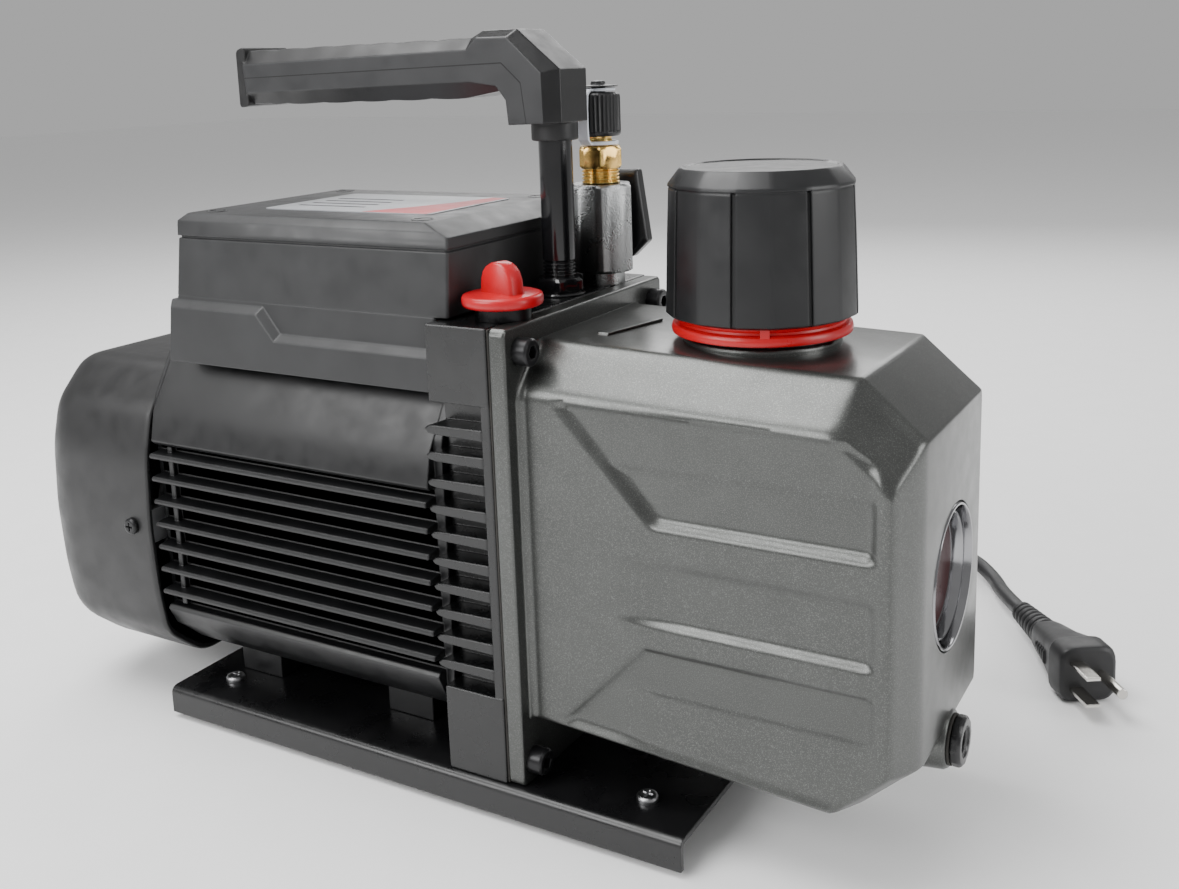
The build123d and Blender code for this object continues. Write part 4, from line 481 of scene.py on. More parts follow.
cord_curve = bpy.data.curves.new("mains_cord", "CURVE")
cord_curve.dimensions = "3D"
cord_curve.bevel_depth = CORD_D / 2 * MM
cord_curve.bevel_resolution = 6
cord_curve.resolution_u = 8
cord_curve.use_fill_caps = True
route = route_to_coil + coil_points + route_to_plug
spline = cord_curve.splines.new("NURBS")
spline.points.add(len(route) - 1)
for control, spot in zip(spline.points, route):
    control.co = (*at(*spot), 1.0)
spline.order_u = 3
spline.use_endpoint_u = True
cord_curve.materials.append(finish["gland_rubber"])
cord = placed_object("mains_cord", cord_curve)
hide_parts("power_cord", "cord_coil")
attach(cord, "pump")

# ---- plug and gland
plug_side = Vector((-plug_dir.y, plug_dir.x, 0)).normalized()
plug_up = plug_dir.cross(plug_side)


def rounded_rect(width, height, radius, steps=5):
    w, h = width / 2, height / 2
    return rounded([(-w, -h), (w, -h), (w, h), (-w, h)], radius * 1.3, steps)


def plug_ring(back_by, outline):
    return [tuple(plug_face - plug_dir * back_by + plug_side * a + plug_up * b)
            for a, b in outline]


PLUG_PROFILE = [
    (0.0, 23.5, 23.0, 5.5), (1.2, 26.6, 26.0, 6.0), (3.0, 27.5, 27.0, 6.0),
    (13.0, 27.5, 27.0, 6.0), (15.0, 25.2, 24.6, 6.0), (17.0, 24.6, 24.0, 6.0),
    (30.0, 20.0, 19.5, 6.0), (44.0, 17.0, 16.4, 6.0), (47.6, 15.6, 15.0, 6.0),
]
plug_rings = [plug_ring(b, rounded_rect(w, h, r)) for b, w, h, r in PLUG_PROFILE]
RIB_COUNT = 7
relief_rings = []
rib_step = PLUG_RELIEF / RIB_COUNT
for rib in range(RIB_COUNT):
    start = PLUG_LEN + rib * rib_step
    fat = 7.6 - 2.2 * rib / RIB_COUNT
    for offset, radius in ((0.0, fat - 1.5), (0.5, fat - 0.4), (1.0, fat),
                           (rib_step - 1.8, fat), (rib_step - 1.3, fat - 0.4),
                           (rib_step - 0.8, fat - 1.5)):
        relief_rings.append(plug_ring(start + offset, polar(max(radius, 4.1), 36)))
plug_shapes = [loft(plug_rings), loft(relief_rings)]
WAVE_COUNT, WAVE_PITCH, WAVE_THICK = 5, 3.6, 1.6
for row in range(WAVE_COUNT):
    wave = rounded_rect(25.2 - 1.2 * row, 8.0 - row, 2.0)
    start = 22.0 + WAVE_PITCH * row
    plug_shapes.append(loft([plug_ring(start, wave), plug_ring(start + WAVE_THICK, wave)]))
plug = piece("mains_plug", plug_shapes, "pump", "gland_rubber", ["plug_body"], bevel=0.35)

GLAND_RINGS = [(9.0, 0.2), (10.0, 0.6), (10.0, 2.4), (9.4, 3.0), (7.4, 3.4)]
for rib in range(8):
    start = 4.6 + rib * 3.6
    fat = 7.3 - 0.28 * rib
    GLAND_RINGS += [(fat - 1.1, start), (fat, start + 0.7), (fat, start + 1.9),
                    (fat - 1.1, start + 2.6)]
gland = piece(
    "cord_relief",
    [loft([[(GLAND_X + a, PAD_Y + reach, GLAND_Z + b) for a, b in polar(r, 40)]
           for r, reach in GLAND_RINGS])],
    "pump", "gland_rubber", ["cord_gland"], bevel=0.2)

TIE_ANGLE, TIE_HALF = math.radians(200.0), 3.5
tie_section = rounded([(28.4, 0.2), (53.6, 0.2), (53.6, 8.6), (49.6, TOP_LAYER + 4.7),
                       (32.4, TOP_LAYER + 4.7), (28.4, 8.6)], 3.0, 4)
tie_inner = [(COIL_MIDDLE_R + (r - COIL_MIDDLE_R) * 0.96, CORD_D + (z - CORD_D) * 0.92)
             for r, z in tie_section]
tie_rings = []
for outline, offset in ((tie_inner, -TIE_HALF), (tie_section, -TIE_HALF),
                        (tie_section, TIE_HALF), (tie_inner, TIE_HALF)):
    ring = []
    for r, z in outline:
        ring.append((COIL_X + r * math.cos(TIE_ANGLE) - offset * math.sin(TIE_ANGLE),
                     COIL_Y + r * math.sin(TIE_ANGLE) + offset * math.cos(TIE_ANGLE), z))
    tie_rings.append(ring)
tie = piece("coil_tie", [loft(tie_rings, capped=False)], "pump", "gland_rubber", bevel=0.3)

# ---- oil case
CASE_BACK, CASE_FRONT, SIDE_FRONT = FLANGE_FRONT, 166.5, 160.0
MID_HALF, SIDE_HALF = 39.5, 56.1
EDGE_ROUND, FOOT_FILLET = 2.6, 3.0
PLATE_TOP, BRACKET_TOP = 15.4, 202.8
SIGHT_R, SIGHT_Z, SIGHT_SEAT = 27.6, 109.0, 158.5
SIGHT_SIDES = 64
CAP_X, NECK_SEAT_Z = 91.3, 195.0
DRAIN_Z = 43.5
mid_top = [(CASE_BACK, 194.9), (143.4, 191.1), (CASE_FRONT, 171.0)]
mid_low = [(CASE_BACK, 41.2), (146.5, 33.4), (CASE_FRONT, 51.4)]
side_top = [(CASE_BACK, 176.9), (143.1, 174.5), (SIDE_FRONT, 163.6)]
side_low = [(CASE_BACK, 41.4), (143.0, 33.6), (SIDE_FRONT, 53.8)]
# The two cut corners of the middle outline, with how far each chamfer reaches in.
CORNERS = [(mid_top[1], mid_top[2], 15.0), (mid_low[2], mid_low[1], 6.4)]
# The pressed relief: an upper panel with a deeper step, a channel, and a lower panel
# with a shelf. Each has its edges' heights and its depth.
UPPER_SLANT = ((70.1, 132.7), (28.3, 177.5))
UPPER_LOW, UPPER_DEPTH = 132.6, 1.9
STEP_TOP, STEP_DEPTH = 152.6, 1.3
CHANNEL_TOP, CHANNEL_LOW, CHANNEL_DEPTH = 116.8, 93.4, 2.4
LOWER_SLANT = ((27.6, 42.1), (66.7, 82.7))
LOWER_TOP, LOWER_DEPTH = 82.2, 2.2
SHELF_TOP, SHELF_RISE = 64.6, 0.8


def level_at(line, x):
    """Height of a broken line at x."""
    for (x0, z0), (x1, z1) in zip(line, line[1:]):
        if x <= x1 or (x1, z1) == line[-1]:
            return z0 + (z1 - z0) * (x - x0) / (x1 - x0)


def soft_min(values, blend_width):
    total = values[0]
    for value in values[1:]:
        gap = max(0.0, blend_width - abs(total - value))
        total = min(total, value) - gap * gap / (4 * blend_width)
    return total


def beside(point, start, end):
    """Signed distance of a point from a line, positive on its right."""
    run = (end[0] - start[0], end[1] - start[1])
    size = math.hypot(*run)
    return ((point[0] - start[0]) * run[1] - (point[1] - start[1]) * run[0]) / size


def relief_depth(x, z):
    """How far the side of the case is pressed in at (x, z)."""
    spot = (x, z)
    right_end = 1.0 - smooth_step(x - 153.5, 6.0)
    top_end = smooth_step(level_at(side_top, x) - 2.6 - z, 3.0)
    low_end = smooth_step(z - level_at(side_low, x) - 4.0, 6.0)
    slant = beside(spot, *UPPER_SLANT)
    upper = smooth_step(min(slant, z - UPPER_LOW), 4.0)
    deeper = smooth_step(STEP_TOP - z, 5.0) * smooth_step(min(slant - 2.0, z - UPPER_LOW), 5.0)
    channel = smooth_step(CHANNEL_TOP - z, 7.0) * smooth_step(z - CHANNEL_LOW, 4.0)
    channel *= smooth_step(x - 64.0, 44.0)
    lower = smooth_step(min(beside(spot, *LOWER_SLANT), LOWER_TOP - z), 3.6)
    shelf = SHELF_RISE * smooth_step(SHELF_TOP - z, 3.2) * smooth_step(x - 62.0, 20.0)
    depth = (UPPER_DEPTH * upper + STEP_DEPTH * deeper) * top_end
    depth += CHANNEL_DEPTH * channel + (LOWER_DEPTH - shelf) * lower * low_end
    return depth * right_end


def case_half_width(x, z):
    """Half width of the case at (x, z): chamfers, fillet at the flange, relief."""
    rise = SIDE_HALF - MID_HALF
    top_mid, top_side = level_at(mid_top, x), level_at(side_top, min(x, SIDE_FRONT))
    low_mid, low_side = level_at(mid_low, x), level_at(side_low, min(x, SIDE_FRONT))
    walls = [
        SIDE_HALF,
        MID_HALF + rise * (CASE_FRONT - x) / (CASE_FRONT - SIDE_FRONT),
        MID_HALF + rise * (top_mid - z) / max(1.5, top_mid - top_side),
        MID_HALF + rise * (z - low_mid) / max(1.5, low_side - low_mid),
    ]
    for start, end, reach in CORNERS:
        walls.append(MID_HALF + rise * beside((x, z), start, end) / reach)
    width = soft_min(walls, 3.0)
    border = min(CASE_FRONT - x, top_mid - z, z - low_mid,
                 *(beside((x, z), start, end) for start, end, _ in CORNERS))
    if border < EDGE_ROUND:
        border = max(0.0, border)
        width -= EDGE_ROUND - math.sqrt(EDGE_ROUND ** 2 - (EDGE_ROUND - border) ** 2)
    flank = x - CASE_BACK
    if flank < FOOT_FILLET:
        width += FOOT_FILLET - math.sqrt(FOOT_FILLET ** 2 - (FOOT_FILLET - flank) ** 2)
    return max(width - relief_depth(x, z), 20.0)


def spaced(start, end, pitch):
    count = max(1, round((end - start) / pitch))
    return [start + (end - start) * i / count for i in range(count)]


columns = (spaced(CASE_BACK, 18.5, 0.6) + spaced(18.5, 140.0, 1.5) + spaced(140.0, 157.0, 1.0)
           + spaced(157.0, CASE_FRONT, 0.5) + [CASE_FRONT])
# Rows stand close together at both rounded edges and evenly between them.
ROWS = 118
edge_parts = [0.0, 0.002, 0.005, 0.01, 0.016]
row_parts = (edge_parts + [0.016 + 0.968 * i / ROWS for i in range(1, ROWS)]
             + [1.0 - part for part in reversed(edge_parts)])


def case_shape():
    """Both moulded sides and the band between them, with a hole for the glass."""
    points, faces = [], []
    wide, tall = len(columns), len(row_parts)

    def index(side, i, j):
        return side * wide * tall + i * tall + j

    for side in (-1, 1):
        for x in columns:
            low, high = level_at(mid_low, x), level_at(mid_top, x)
            for part in row_parts:
                z = low + (high - low) * part
                points.append((x, side * case_half_width(x, z), z))
    for side in (0, 1):
        for i in range(wide - 1):
            for j in range(tall - 1):
                faces.append([index(side, i, j), index(side, i + 1, j),
                              index(side, i + 1, j + 1), index(side, i, j + 1)])
    for j in (0, tall - 1):
        for i in range(wide - 1):
            faces.append([index(0, i, j), index(0, i + 1, j), index(1, i + 1, j),
                          index(1, i, j)])
    faces.append([index(0, 0, j) for j in range(tall)]
                 + [index(1, 0, j) for j in reversed(range(tall))])
    front = [index(0, wide - 1, j) for j in range(tall)]
    front += [index(1, wide - 1, j) for j in reversed(range(tall))]
    circle = polar(SIGHT_R + 0.6, SIGHT_SIDES)
    mouth = [len(points) + i for i in range(SIGHT_SIDES)]
    points += [(CASE_FRONT, a, SIGHT_Z + b) for a, b in circle]
    flat, hole = ([Vector((points[i][1], points[i][2], 0)) for i in ring]
                  for ring in (front, mouth))
    order = front + mouth
    faces += [[order[i] for i in face] for face in tessellate_polygon([flat, hole])]
    seat = [len(points) + i for i in range(SIGHT_SIDES)]
    points += [(SIGHT_SEAT, a, SIGHT_Z + b) for a, b in circle]
    for i in range(SIGHT_SIDES):
        j = (i + 1) % SIGHT_SIDES
        faces.append([mouth[i], mouth[j], seat[j], seat[i]])
    faces.append(seat)
    return points, faces


FLANGE_HALF = 64.5
flange_outline = rounded([(-FLANGE_HALF, PLATE_TOP), (FLANGE_HALF, PLATE_TOP),
                          (FLANGE_HALF, BRACKET_TOP), (-FLANGE_HALF, BRACKET_TOP)], 3.0)
piece("oil_case_shell", [case_shape()], "pump", "case_paint", ["oil_case"], angle=40.0)
piece("case_flange", [along_x(flange_outline, FLANGE_BACK, FLANGE_FRONT)], "pump", "case_paint",
      bevel=1.6, segments=3)
seat_profile = [(30.6, 186.0), (30.6, 194.0), (30.0, 194.8), (28.6, NECK_SEAT_Z),
                (19.0, NECK_SEAT_Z)]
top_mark = [(31.0, -24.0), (36.0, -24.0), (43.0, 11.0), (38.0, 11.0)]
boss_profile = [(13.5, 140.0), (12.4, 158.0), (11.6, 166.0), (10.6, 167.5), (6.2, 167.5)]
case_trim = [
    lathe_z(seat_profile, CAP_X, 0.0, 72),
    lathe_x(boss_profile, 0.0, DRAIN_Z, 48),
    loft([[(x, y, 193.2) for x, y in top_mark],
          [(x + 0.6, y * 0.96, 195.3) for x, y in top_mark]]),
]
piece("case_trim", case_trim, "pump", "case_paint", bevel=0.6)

# ---- sight glass and bezel
bezel_profile = [(27.2, 160.0), (27.7, 166.4), (27.2, 167.0), (26.5, 166.9), (26.1, 166.0),
                 (25.8, 160.9), (24.9, 160.5), (24.4, 163.6), (23.9, 164.2), (23.2, 164.2),
                 (22.7, 163.4), (22.3, 159.6)]
piece("sight_ring", [lathe_x(bezel_profile, 0.0, SIGHT_Z, 96)], "pump", "bezel_chrome",
      ["sight_bezel"], angle=50.0)
lens_profile = [(22.4, 159.2), (22.2, 159.9), (18.0, 160.3), (12.0, 160.6), (5.0, 160.8),
                (0.4, 160.8)]
piece("sight_lens", [lathe_x(lens_profile, 0.0, SIGHT_Z, 96)], "pump", "sight_glass",
      ["sight_glass"], angle=60.0)
drain_profile = [(9.2, 168.6), (9.8, 169.2), (9.8, 171.4), (9.0, 172.6), (6.2, 172.7),
                 (5.6, 171.8), (4.6, 171.6), (4.4, 169.4)]
piece("drain_knob", [lathe_x(drain_profile, 0.0, DRAIN_Z, 12)], "drain_plug",
      "drain_plastic", ["drain_plug"], bevel=0.4)

# ---- base plate
PLATE_X0, PLATE_X1, PLATE_HALF = -182.6, 85.9, 68.2
PLATE_LOW, SHEET = 2.5, 2.5
channel = [(-PLATE_HALF, PLATE_LOW), (-PLATE_HALF, PLATE_TOP), (PLATE_HALF, PLATE_TOP),
           (PLATE_HALF, PLATE_LOW), (PLATE_HALF - SHEET, PLATE_LOW),
           (PLATE_HALF - SHEET, PLATE_TOP - SHEET), (-PLATE_HALF + SHEET, PLATE_TOP - SHEET),
           (-PLATE_HALF + SHEET, PLATE_LOW)]
BEND_RADII = {1: 4.0, 2: 4.0, 5: 1.5, 6: 1.5}
BEND_STEPS = 5
bent = []
for i, corner in enumerate(channel):
    if i in BEND_RADII:
        arc = rounded([channel[i - 1], corner, channel[i + 1]], BEND_RADII[i], BEND_STEPS)
        bent += arc[BEND_STEPS + 1:2 * (BEND_STEPS + 1)]
    else:
        bent.append(corner)
piece("plate_sheet", [along_x(bent, PLATE_X0, PLATE_X1)], "pump", "black_sheet",
      ["base_plate"], bevel=0.35, angle=40.0)

# ---- motor housing
MOTOR_X0, MOTOR_X1 = -186.0, -21.4
FIN_PITCH, FIN_TOP, FIN_COUNT = 11.0, 128.6, 7
FIN_HALF, CORE_HALF = 66.0, 58.5
finned = [(46.0, 174.4), (61.0, 149.5), (64.0, 135.5), (62.6, 133.7), (CORE_HALF, 133.5)]
for row in range(FIN_COUNT):
    z = FIN_TOP - row * FIN_PITCH
    finned += [(CORE_HALF, z + 1.9), (FIN_HALF - 0.8, z + 1.3), (FIN_HALF, z + 0.7),
               (FIN_HALF, z - 0.7), (FIN_HALF - 0.8, z - 1.3), (CORE_HALF, z - 1.9)]
finned += [(CORE_HALF, 55.5), (62.6, 55.3), (64.0, 53.5), (60.0, 45.0), (44.0, 30.5)]
plain_core = [(46.0, 174.4), (57.5, 154.5), (CORE_HALF, 150.0), (CORE_HALF, 45.0), (44.0, 30.5)]
housing_shapes = [along_x(mirrored(finned), MOTOR_X0 + 2.4, -25.4),
                  along_x(mirrored(plain_core), MOTOR_X0, MOTOR_X1)]
for x0, x1 in ((-165.0, -140.0), (-75.0, -50.0)):
    housing_shapes.append(block(x0, x1, -38.0, 38.0, PLATE_TOP, 34.0))
for side in (-1, 1):
    housing_shapes.append(block(-176.5, -173.5, side * 57.0, side * 61.5, 56.0, 133.0))
piece("housing_ribbed", housing_shapes, "pump", "motor_paint", ["motor_housing"],
      bevel=0.7, segments=2)

# ---- fan cover
COVER_BEND, COVER_REAR = -238.0, -262.0
cover_half = [(43.0, 167.5), (60.5, 149.5), (66.3, 127.5), (68.4, SHAFT_Z), (67.0, 62.5),
              (63.8, 39.5), (43.5, 21.5)]
cover_outline = rounded(mirrored(cover_half), 7.0, 5)


def cover_ring(x, scale, inset=0.0):
    ring = []
    for y, z in cover_outline:
        reach = math.hypot(y, z - SHAFT_Z)
        grow = scale * (reach - inset) / reach
        ring.append((x, y * grow, SHAFT_Z + (z - SHAFT_Z) * grow))
    return ring


cover_rings = [cover_ring(-187.5, 1.0, 3.2), cover_ring(-186.2, 1.0, 2.6),
               cover_ring(-186.0, 1.0, 0.9), cover_ring(-186.8, 1.0, 0.15),
               cover_ring(-189.0, 1.0), cover_ring(COVER_BEND, 1.0)]
ARC_STEPS = 9
for step in range(1, ARC_STEPS + 1):
    turn = math.radians(90.0 * step / ARC_STEPS)
    cover_rings.append(cover_ring(COVER_BEND + (COVER_REAR - COVER_BEND) * math.sin(turn),
                                  0.8 + 0.2 * math.cos(turn)))
inner_rings = [cover_ring(COVER_REAR + 2.4, 0.78, 2.0), cover_ring(COVER_REAR + 8.0, 0.9, 2.4),
               cover_ring(COVER_BEND, 1.0, 2.8), cover_ring(-187.5, 1.0, 3.2)]
cover_points, cover_faces = loft(cover_rings + inner_rings, capped=False)
ring_size = len(cover_outline)
rear_row = (len(cover_rings) - 1) * ring_size
wall_row = rear_row + ring_size
# The rear is closed by two plates, outer and inner, in place of the wall between them.
cover_faces = [f for f in cover_faces
               if not (min(f) >= rear_row and max(f) < wall_row + ring_size)]
cover_faces.append([rear_row + i for i in range(ring_size)])
cover_faces.append([wall_row + i for i in range(ring_size)])
COVER_ANGLE = 38.0
cover = piece("fan_cowl", [(cover_points, cover_faces)], "pump", "cover_plastic",
              ["fan_cover"], angle=COVER_ANGLE)

SLOT_W, SLOT_ROWS, SLOT_REACH = 3.4, 9, 39.0
slot_shapes = []
for row in range(SLOT_ROWS):
    rise = (row - (SLOT_ROWS - 1) / 2) * 2.3 * SLOT_W
    reach = math.sqrt(SLOT_REACH ** 2 - rise ** 2)
    for side in (-1, 1):
        y0, y1 = side * 4.0, side * reach
        z = SHAFT_Z + rise
        w = SLOT_W / 2
        slot = rounded([(y0, z - w), (y1, z - w), (y1, z + w), (y0, z + w)], SLOT_W * 0.45, 4)
        slot_shapes.append(along_x(slot, COVER_REAR - 4.0, COVER_REAR + 6.0))
cutter = placed_object("slot_cutter", built_mesh("slot_cutter", slot_shapes))
cutting = cover.modifiers.new("slots", "BOOLEAN")
cutting.object = cutter
cutting.operation = "DIFFERENCE"
cutting.solver = "EXACT"
bpy.context.view_layer.update()
cut_mesh = bpy.data.meshes.new_from_object(
    cover.evaluated_get(bpy.context.evaluated_depsgraph_get()))
cover.modifiers.clear()
cover.data = cut_mesh
bpy.data.objects.remove(cutter)
cover.data.set_sharp_from_angle(angle=math.radians(COVER_ANGLE))

# ---- terminal box
BOX_Z0, SEAM_Z, LID_TOP = 174.5, 230.3, 240.0
BOX_FRONT = -15.8


def box_ring(z, x0, x1, half, radius=1.4):
    outline = rounded([(x0, -half), (x1, -half), (x1, half), (x0, half)], radius, 4)
    return [(x, y, z) for x, y in outline]


NOTCH_Z, NOTCH_X = 203.6, -22.0
box_shapes = [
    loft([box_ring(BOX_Z0, -167.0, NOTCH_X, 59.5), box_ring(NOTCH_Z, -164.9, NOTCH_X, 57.0)]),
    loft([box_ring(NOTCH_Z - 0.2, -164.9, BOX_FRONT, 57.0),
          box_ring(SEAM_Z - 1.1, -163.1, BOX_FRONT, 54.8)]),
    loft([box_ring(SEAM_Z - 1.2, -162.4, BOX_FRONT - 0.8, 54.0),
          box_ring(SEAM_Z + 0.2, -162.4, BOX_FRONT - 0.8, 54.0)]),
]
skirt = [(-169.6, BOX_Z0), (-168.2, 201.8), (-113.0, 201.8), (-103.0, 190.9),
         (NOTCH_X, 190.9), (NOTCH_X, BOX_Z0)]
skirt_inset = [(-167.2, BOX_Z0), (-165.4, 198.9), (-114.4, 198.9), (-104.4, 188.0),
               (NOTCH_X, 188.0), (NOTCH_X, BOX_Z0)]


def skirt_half(z):
    return PAD_Y - (z - BOX_Z0) * 0.07


skirt_rings = []
for side, outline, drop in ((-1, skirt_inset, 0.0), (-1, skirt, 3.4), (1, skirt, 3.4),
                            (1, skirt_inset, 0.0)):
    skirt_rings.append([(x, side * (skirt_half(z) - drop), z) for x, z in outline])
box_shapes.append(loft(skirt_rings))
pad = rounded([(-146.0, 178.0), (-40.0, 178.0), (-40.0, 228.0), (-146.0, 228.0)], 4.0)
box_shapes.append(along_y(pad, 50.0, PAD_Y))
piece("junction_box", box_shapes, "pump", "box_plastic", ["terminal_box"], bevel=0.7)

LID_X0, LID_X1, LID_HALF, LID_CORNER = -163.4, -15.4, 55.1, 1.2


def lid_ring(z, rear, front, side):
    return box_ring(z, LID_X0 + rear, LID_X1 - front, LID_HALF - side, LID_CORNER)


lid_rings = [lid_ring(SEAM_Z, 0.0, 0.0, 0.0), lid_ring(234.8, 0.2, 0.0, 0.2),
             lid_ring(236.9, 0.4, 5.3, 0.4), lid_ring(LID_TOP - 0.3, 3.6, 12.6, 3.4),
             lid_ring(LID_TOP, 4.4, 13.4, 4.2)]
piece("junction_lid", [loft(lid_rings)], "pump", "box_plastic", ["terminal_box_lid"], bevel=0.5)
well_profile = [(4.6, LID_TOP - 0.3), (4.6, LID_TOP + 0.15), (3.9, LID_TOP + 0.2),
                (3.7, LID_TOP - 0.2), (1.2, LID_TOP - 0.25)]
well_shapes = [lathe_z(well_profile, x, y, 32) for x in (-150.0, -36.0) for y in (-43.0, 43.0)]
piece("lid_screw_wells", well_shapes, "pump", "black_screw", ["lid_screws"])
label_outline = rounded([(-134.0, -31.0), (-42.0, -31.0), (-42.0, 31.0), (-134.0, 31.0)], 4.0)
LABEL_TOP = LID_TOP + 0.4
red_field = [(-78.0, -30.0), (-44.0, -30.0), (-44.0, 30.0), (-52.0, 30.0), (-58.0, 8.0),
             (-66.0, -10.0)]
plain_bar = [(-126.0, 10.0), (-88.0, 10.0), (-88.0, 12.0), (-126.0, 12.0)]
label_shapes = [(*along_z(label_outline, LID_TOP - 0.2, LABEL_TOP), 0),
                (*along_z(red_field, LABEL_TOP - 0.1, LABEL_TOP + 0.05), 1)]
BAR_COUNT, BAR_PITCH = 4, 9.0
for row in range(BAR_COUNT):
    bar = [(x, y - BAR_PITCH * row) for x, y in plain_bar]
    label_shapes.append((*along_z(bar, LABEL_TOP - 0.1, LABEL_TOP + 0.04), 2))
piece("rating_label", label_shapes, "pump", "label_silver", ["rating_plate"],
      materials=[finish["label_silver"], label_red, seam_dark])

# ---- pump bracket
BRACKET_X0, BRACKET_X1, BRACKET_HALF = -21.4, 6.8, 65.0
RIB_TOP, RIB_PITCH, RIB_ROWS = 160.5, 11.0, 10
RIB_ROOT, RIB_TIP = 54.0, 64.9
bracket_shapes = [
    block(BRACKET_X0, BRACKET_X1, -BRACKET_HALF, BRACKET_HALF, 172.0, BRACKET_TOP),
    block(BRACKET_X0, BRACKET_X1, -BRACKET_HALF, BRACKET_HALF, PLATE_TOP, 52.0),
    block(BRACKET_X0, BRACKET_X1, -55.0, 55.0, 50.0, 174.0),
    block(2.6, BRACKET_X1, -64.6, 64.6, 50.0, 174.0),
]
for side in (-1, 1):
    for row in range(RIB_ROWS):
        z = RIB_TOP - row * RIB_PITCH
        rib = [(3.0, z - 2.3), (3.0, z + 2.3), (-19.6, z + 1.9), (-22.8, z + 1.5),
               (-24.6, z + 0.2), (-23.4, z - 1.4), (-19.6, z - 2.0)]
        root = [(max(x, BRACKET_X0), side * RIB_ROOT, height) for x, height in rib]
        tip = [(x, side * RIB_TIP, height) for x, height in rib]
        bracket_shapes.append(loft([root, tip]))
piece("bracket_casting", bracket_shapes, "pump", "bracket_paint", ["pump_bracket"],
      bevel=1.1, segments=3)

# ---- exhaust cap
CAP_SIDES, CAP_TURN = 16, math.radians(6.0)
# Degrees to each side of a corner: a groove on every second one, a soft edge on the others.
GROOVE_OFFSETS = (-2.3, -1.5, -1.2, 0.0, 1.2, 1.5, 2.3)
EDGE_OFFSETS = (-1.6, -0.8, 0.0, 0.8, 1.6)
cap_angles = []
for k in range(CAP_SIDES):
    vertex = CAP_TURN + k * 2 * math.pi / CAP_SIDES
    grooved = k % 2 == 0
    offsets = GROOVE_OFFSETS if grooved else EDGE_OFFSETS
    cap_angles += [(vertex + math.radians(o), grooved and abs(o) < 1.4) for o in offsets]
    cap_angles.append((vertex + math.pi / CAP_SIDES, False))


def cap_ring(z, radius, groove, corner_round=0.25):
    """One sixteen-sided ring with rounded corners and its grooves at their depth."""
    ring = []
    sector = 2 * math.pi / CAP_SIDES
    for angle, cut in cap_angles:
        local = (angle - CAP_TURN) % sector - sector / 2
        reach = radius * math.cos(sector / 2) / math.cos(local)
        reach = min(reach, radius - corner_round)
        reach -= groove if cut else 0.0
        ring.append((CAP_X + reach * math.cos(angle), reach * math.sin(angle), z))
    return ring


cap_profile = [(204.0, 30.0, 0.0), (203.6, 35.6, 0.6), (204.3, 37.0, 1.3), (230.0, 36.2, 1.3),
               (251.6, 35.3, 1.3), (252.2, 35.0, 0.2), (252.7, 35.6, 0.0), (253.7, 35.4, 0.0),
               (258.6, 31.6, 0.0), (259.5, 30.6, 0.0), (259.6, 29.4, 0.0), (259.0, 28.6, 0.0),
               (259.0, 2.0, 0.0, 0.0)]
cap_rings = [cap_ring(*row) for row in cap_profile]
piece("exhaust_cap_fluted", [loft(cap_rings)], "exhaust_cap", "cap_plastic",
      ["exhaust_cap"], angle=22.0)

ring_profile = [(24.2, 196.6), (33.4, 196.5), (34.4, 197.0), (34.7, 198.4), (34.3, 199.9),
                (33.4, 200.6), (32.2, 200.8), (32.0, 201.6), (32.6, 202.2), (32.8, 202.9),
                (32.0, 203.35), (24.2, 203.35)]
TAB_ANGLE, TAB_HALF = math.radians(-66.0), 1.7
tab = [(CAP_X + reach * math.cos(TAB_ANGLE) - side * TAB_HALF * math.sin(TAB_ANGLE),
        reach * math.sin(TAB_ANGLE) + side * TAB_HALF * math.cos(TAB_ANGLE))
       for reach, side in ((31.0, -1), (31.0, 1), (34.2, 1), (34.2, -1))]
piece("seal_ring_red", [lathe_z(ring_profile, CAP_X, 0.0, 96), along_z(tab, 199.8, 203.2)],
      "pump", "red_ring", ["exhaust_seal_ring"], angle=50.0)

# ---- gas-ballast knob
KNOB_X, KNOB_Y, KNOB_Z = 1.5, -44.0, 208.0
disc_profile = [(14.6, KNOB_Z), (15.6, KNOB_Z + 0.4), (16.0, KNOB_Z + 1.4),
                (16.0, KNOB_Z + 3.4), (15.5, KNOB_Z + 4.4), (14.2, KNOB_Z + 4.8),
                (0.5, KNOB_Z + 5.0)]
WING_TURN, WING_HALF = math.radians(-13.6), 8.5
WING_FOOT, WING_KNEE = KNOB_Z + 4.0, 218.4
wing_outline = [(-WING_HALF - 0.6, WING_FOOT), (WING_HALF + 0.6, WING_FOOT),
                (WING_HALF, WING_KNEE)]
for step in range(9):
    turn = math.radians(10.0 + 20.0 * step)
    wing_outline.append((WING_HALF * math.cos(turn) * 0.99, 217.6 + 7.5 * math.sin(turn)))
wing_outline.append((-WING_HALF, WING_KNEE))
wing_rings = []
for offset, shrink in ((-4.0, 0.86), (-3.4, 0.95), (-2.4, 1.0), (2.4, 1.0), (3.4, 0.95),
                       (4.0, 0.86)):
    ring = []
    for along, z in wing_outline:
        along *= shrink
        ring.append((KNOB_X + math.cos(WING_TURN) * along - math.sin(WING_TURN) * offset,
                     KNOB_Y + math.sin(WING_TURN) * along + math.cos(WING_TURN) * offset,
                     WING_FOOT + (z - WING_FOOT) * (0.5 + 0.5 * shrink)))
    wing_rings.append(ring)
stem = lathe_z([(5.0, BRACKET_TOP + 0.2), (5.0, KNOB_Z + 0.2)], KNOB_X, KNOB_Y, 32)
piece("ballast_knob_red", [lathe_z(disc_profile, KNOB_X, KNOB_Y, 72), loft(wing_rings), stem],
      "ballast_knob", "red_plastic", ["ballast_knob"], angle=50.0)

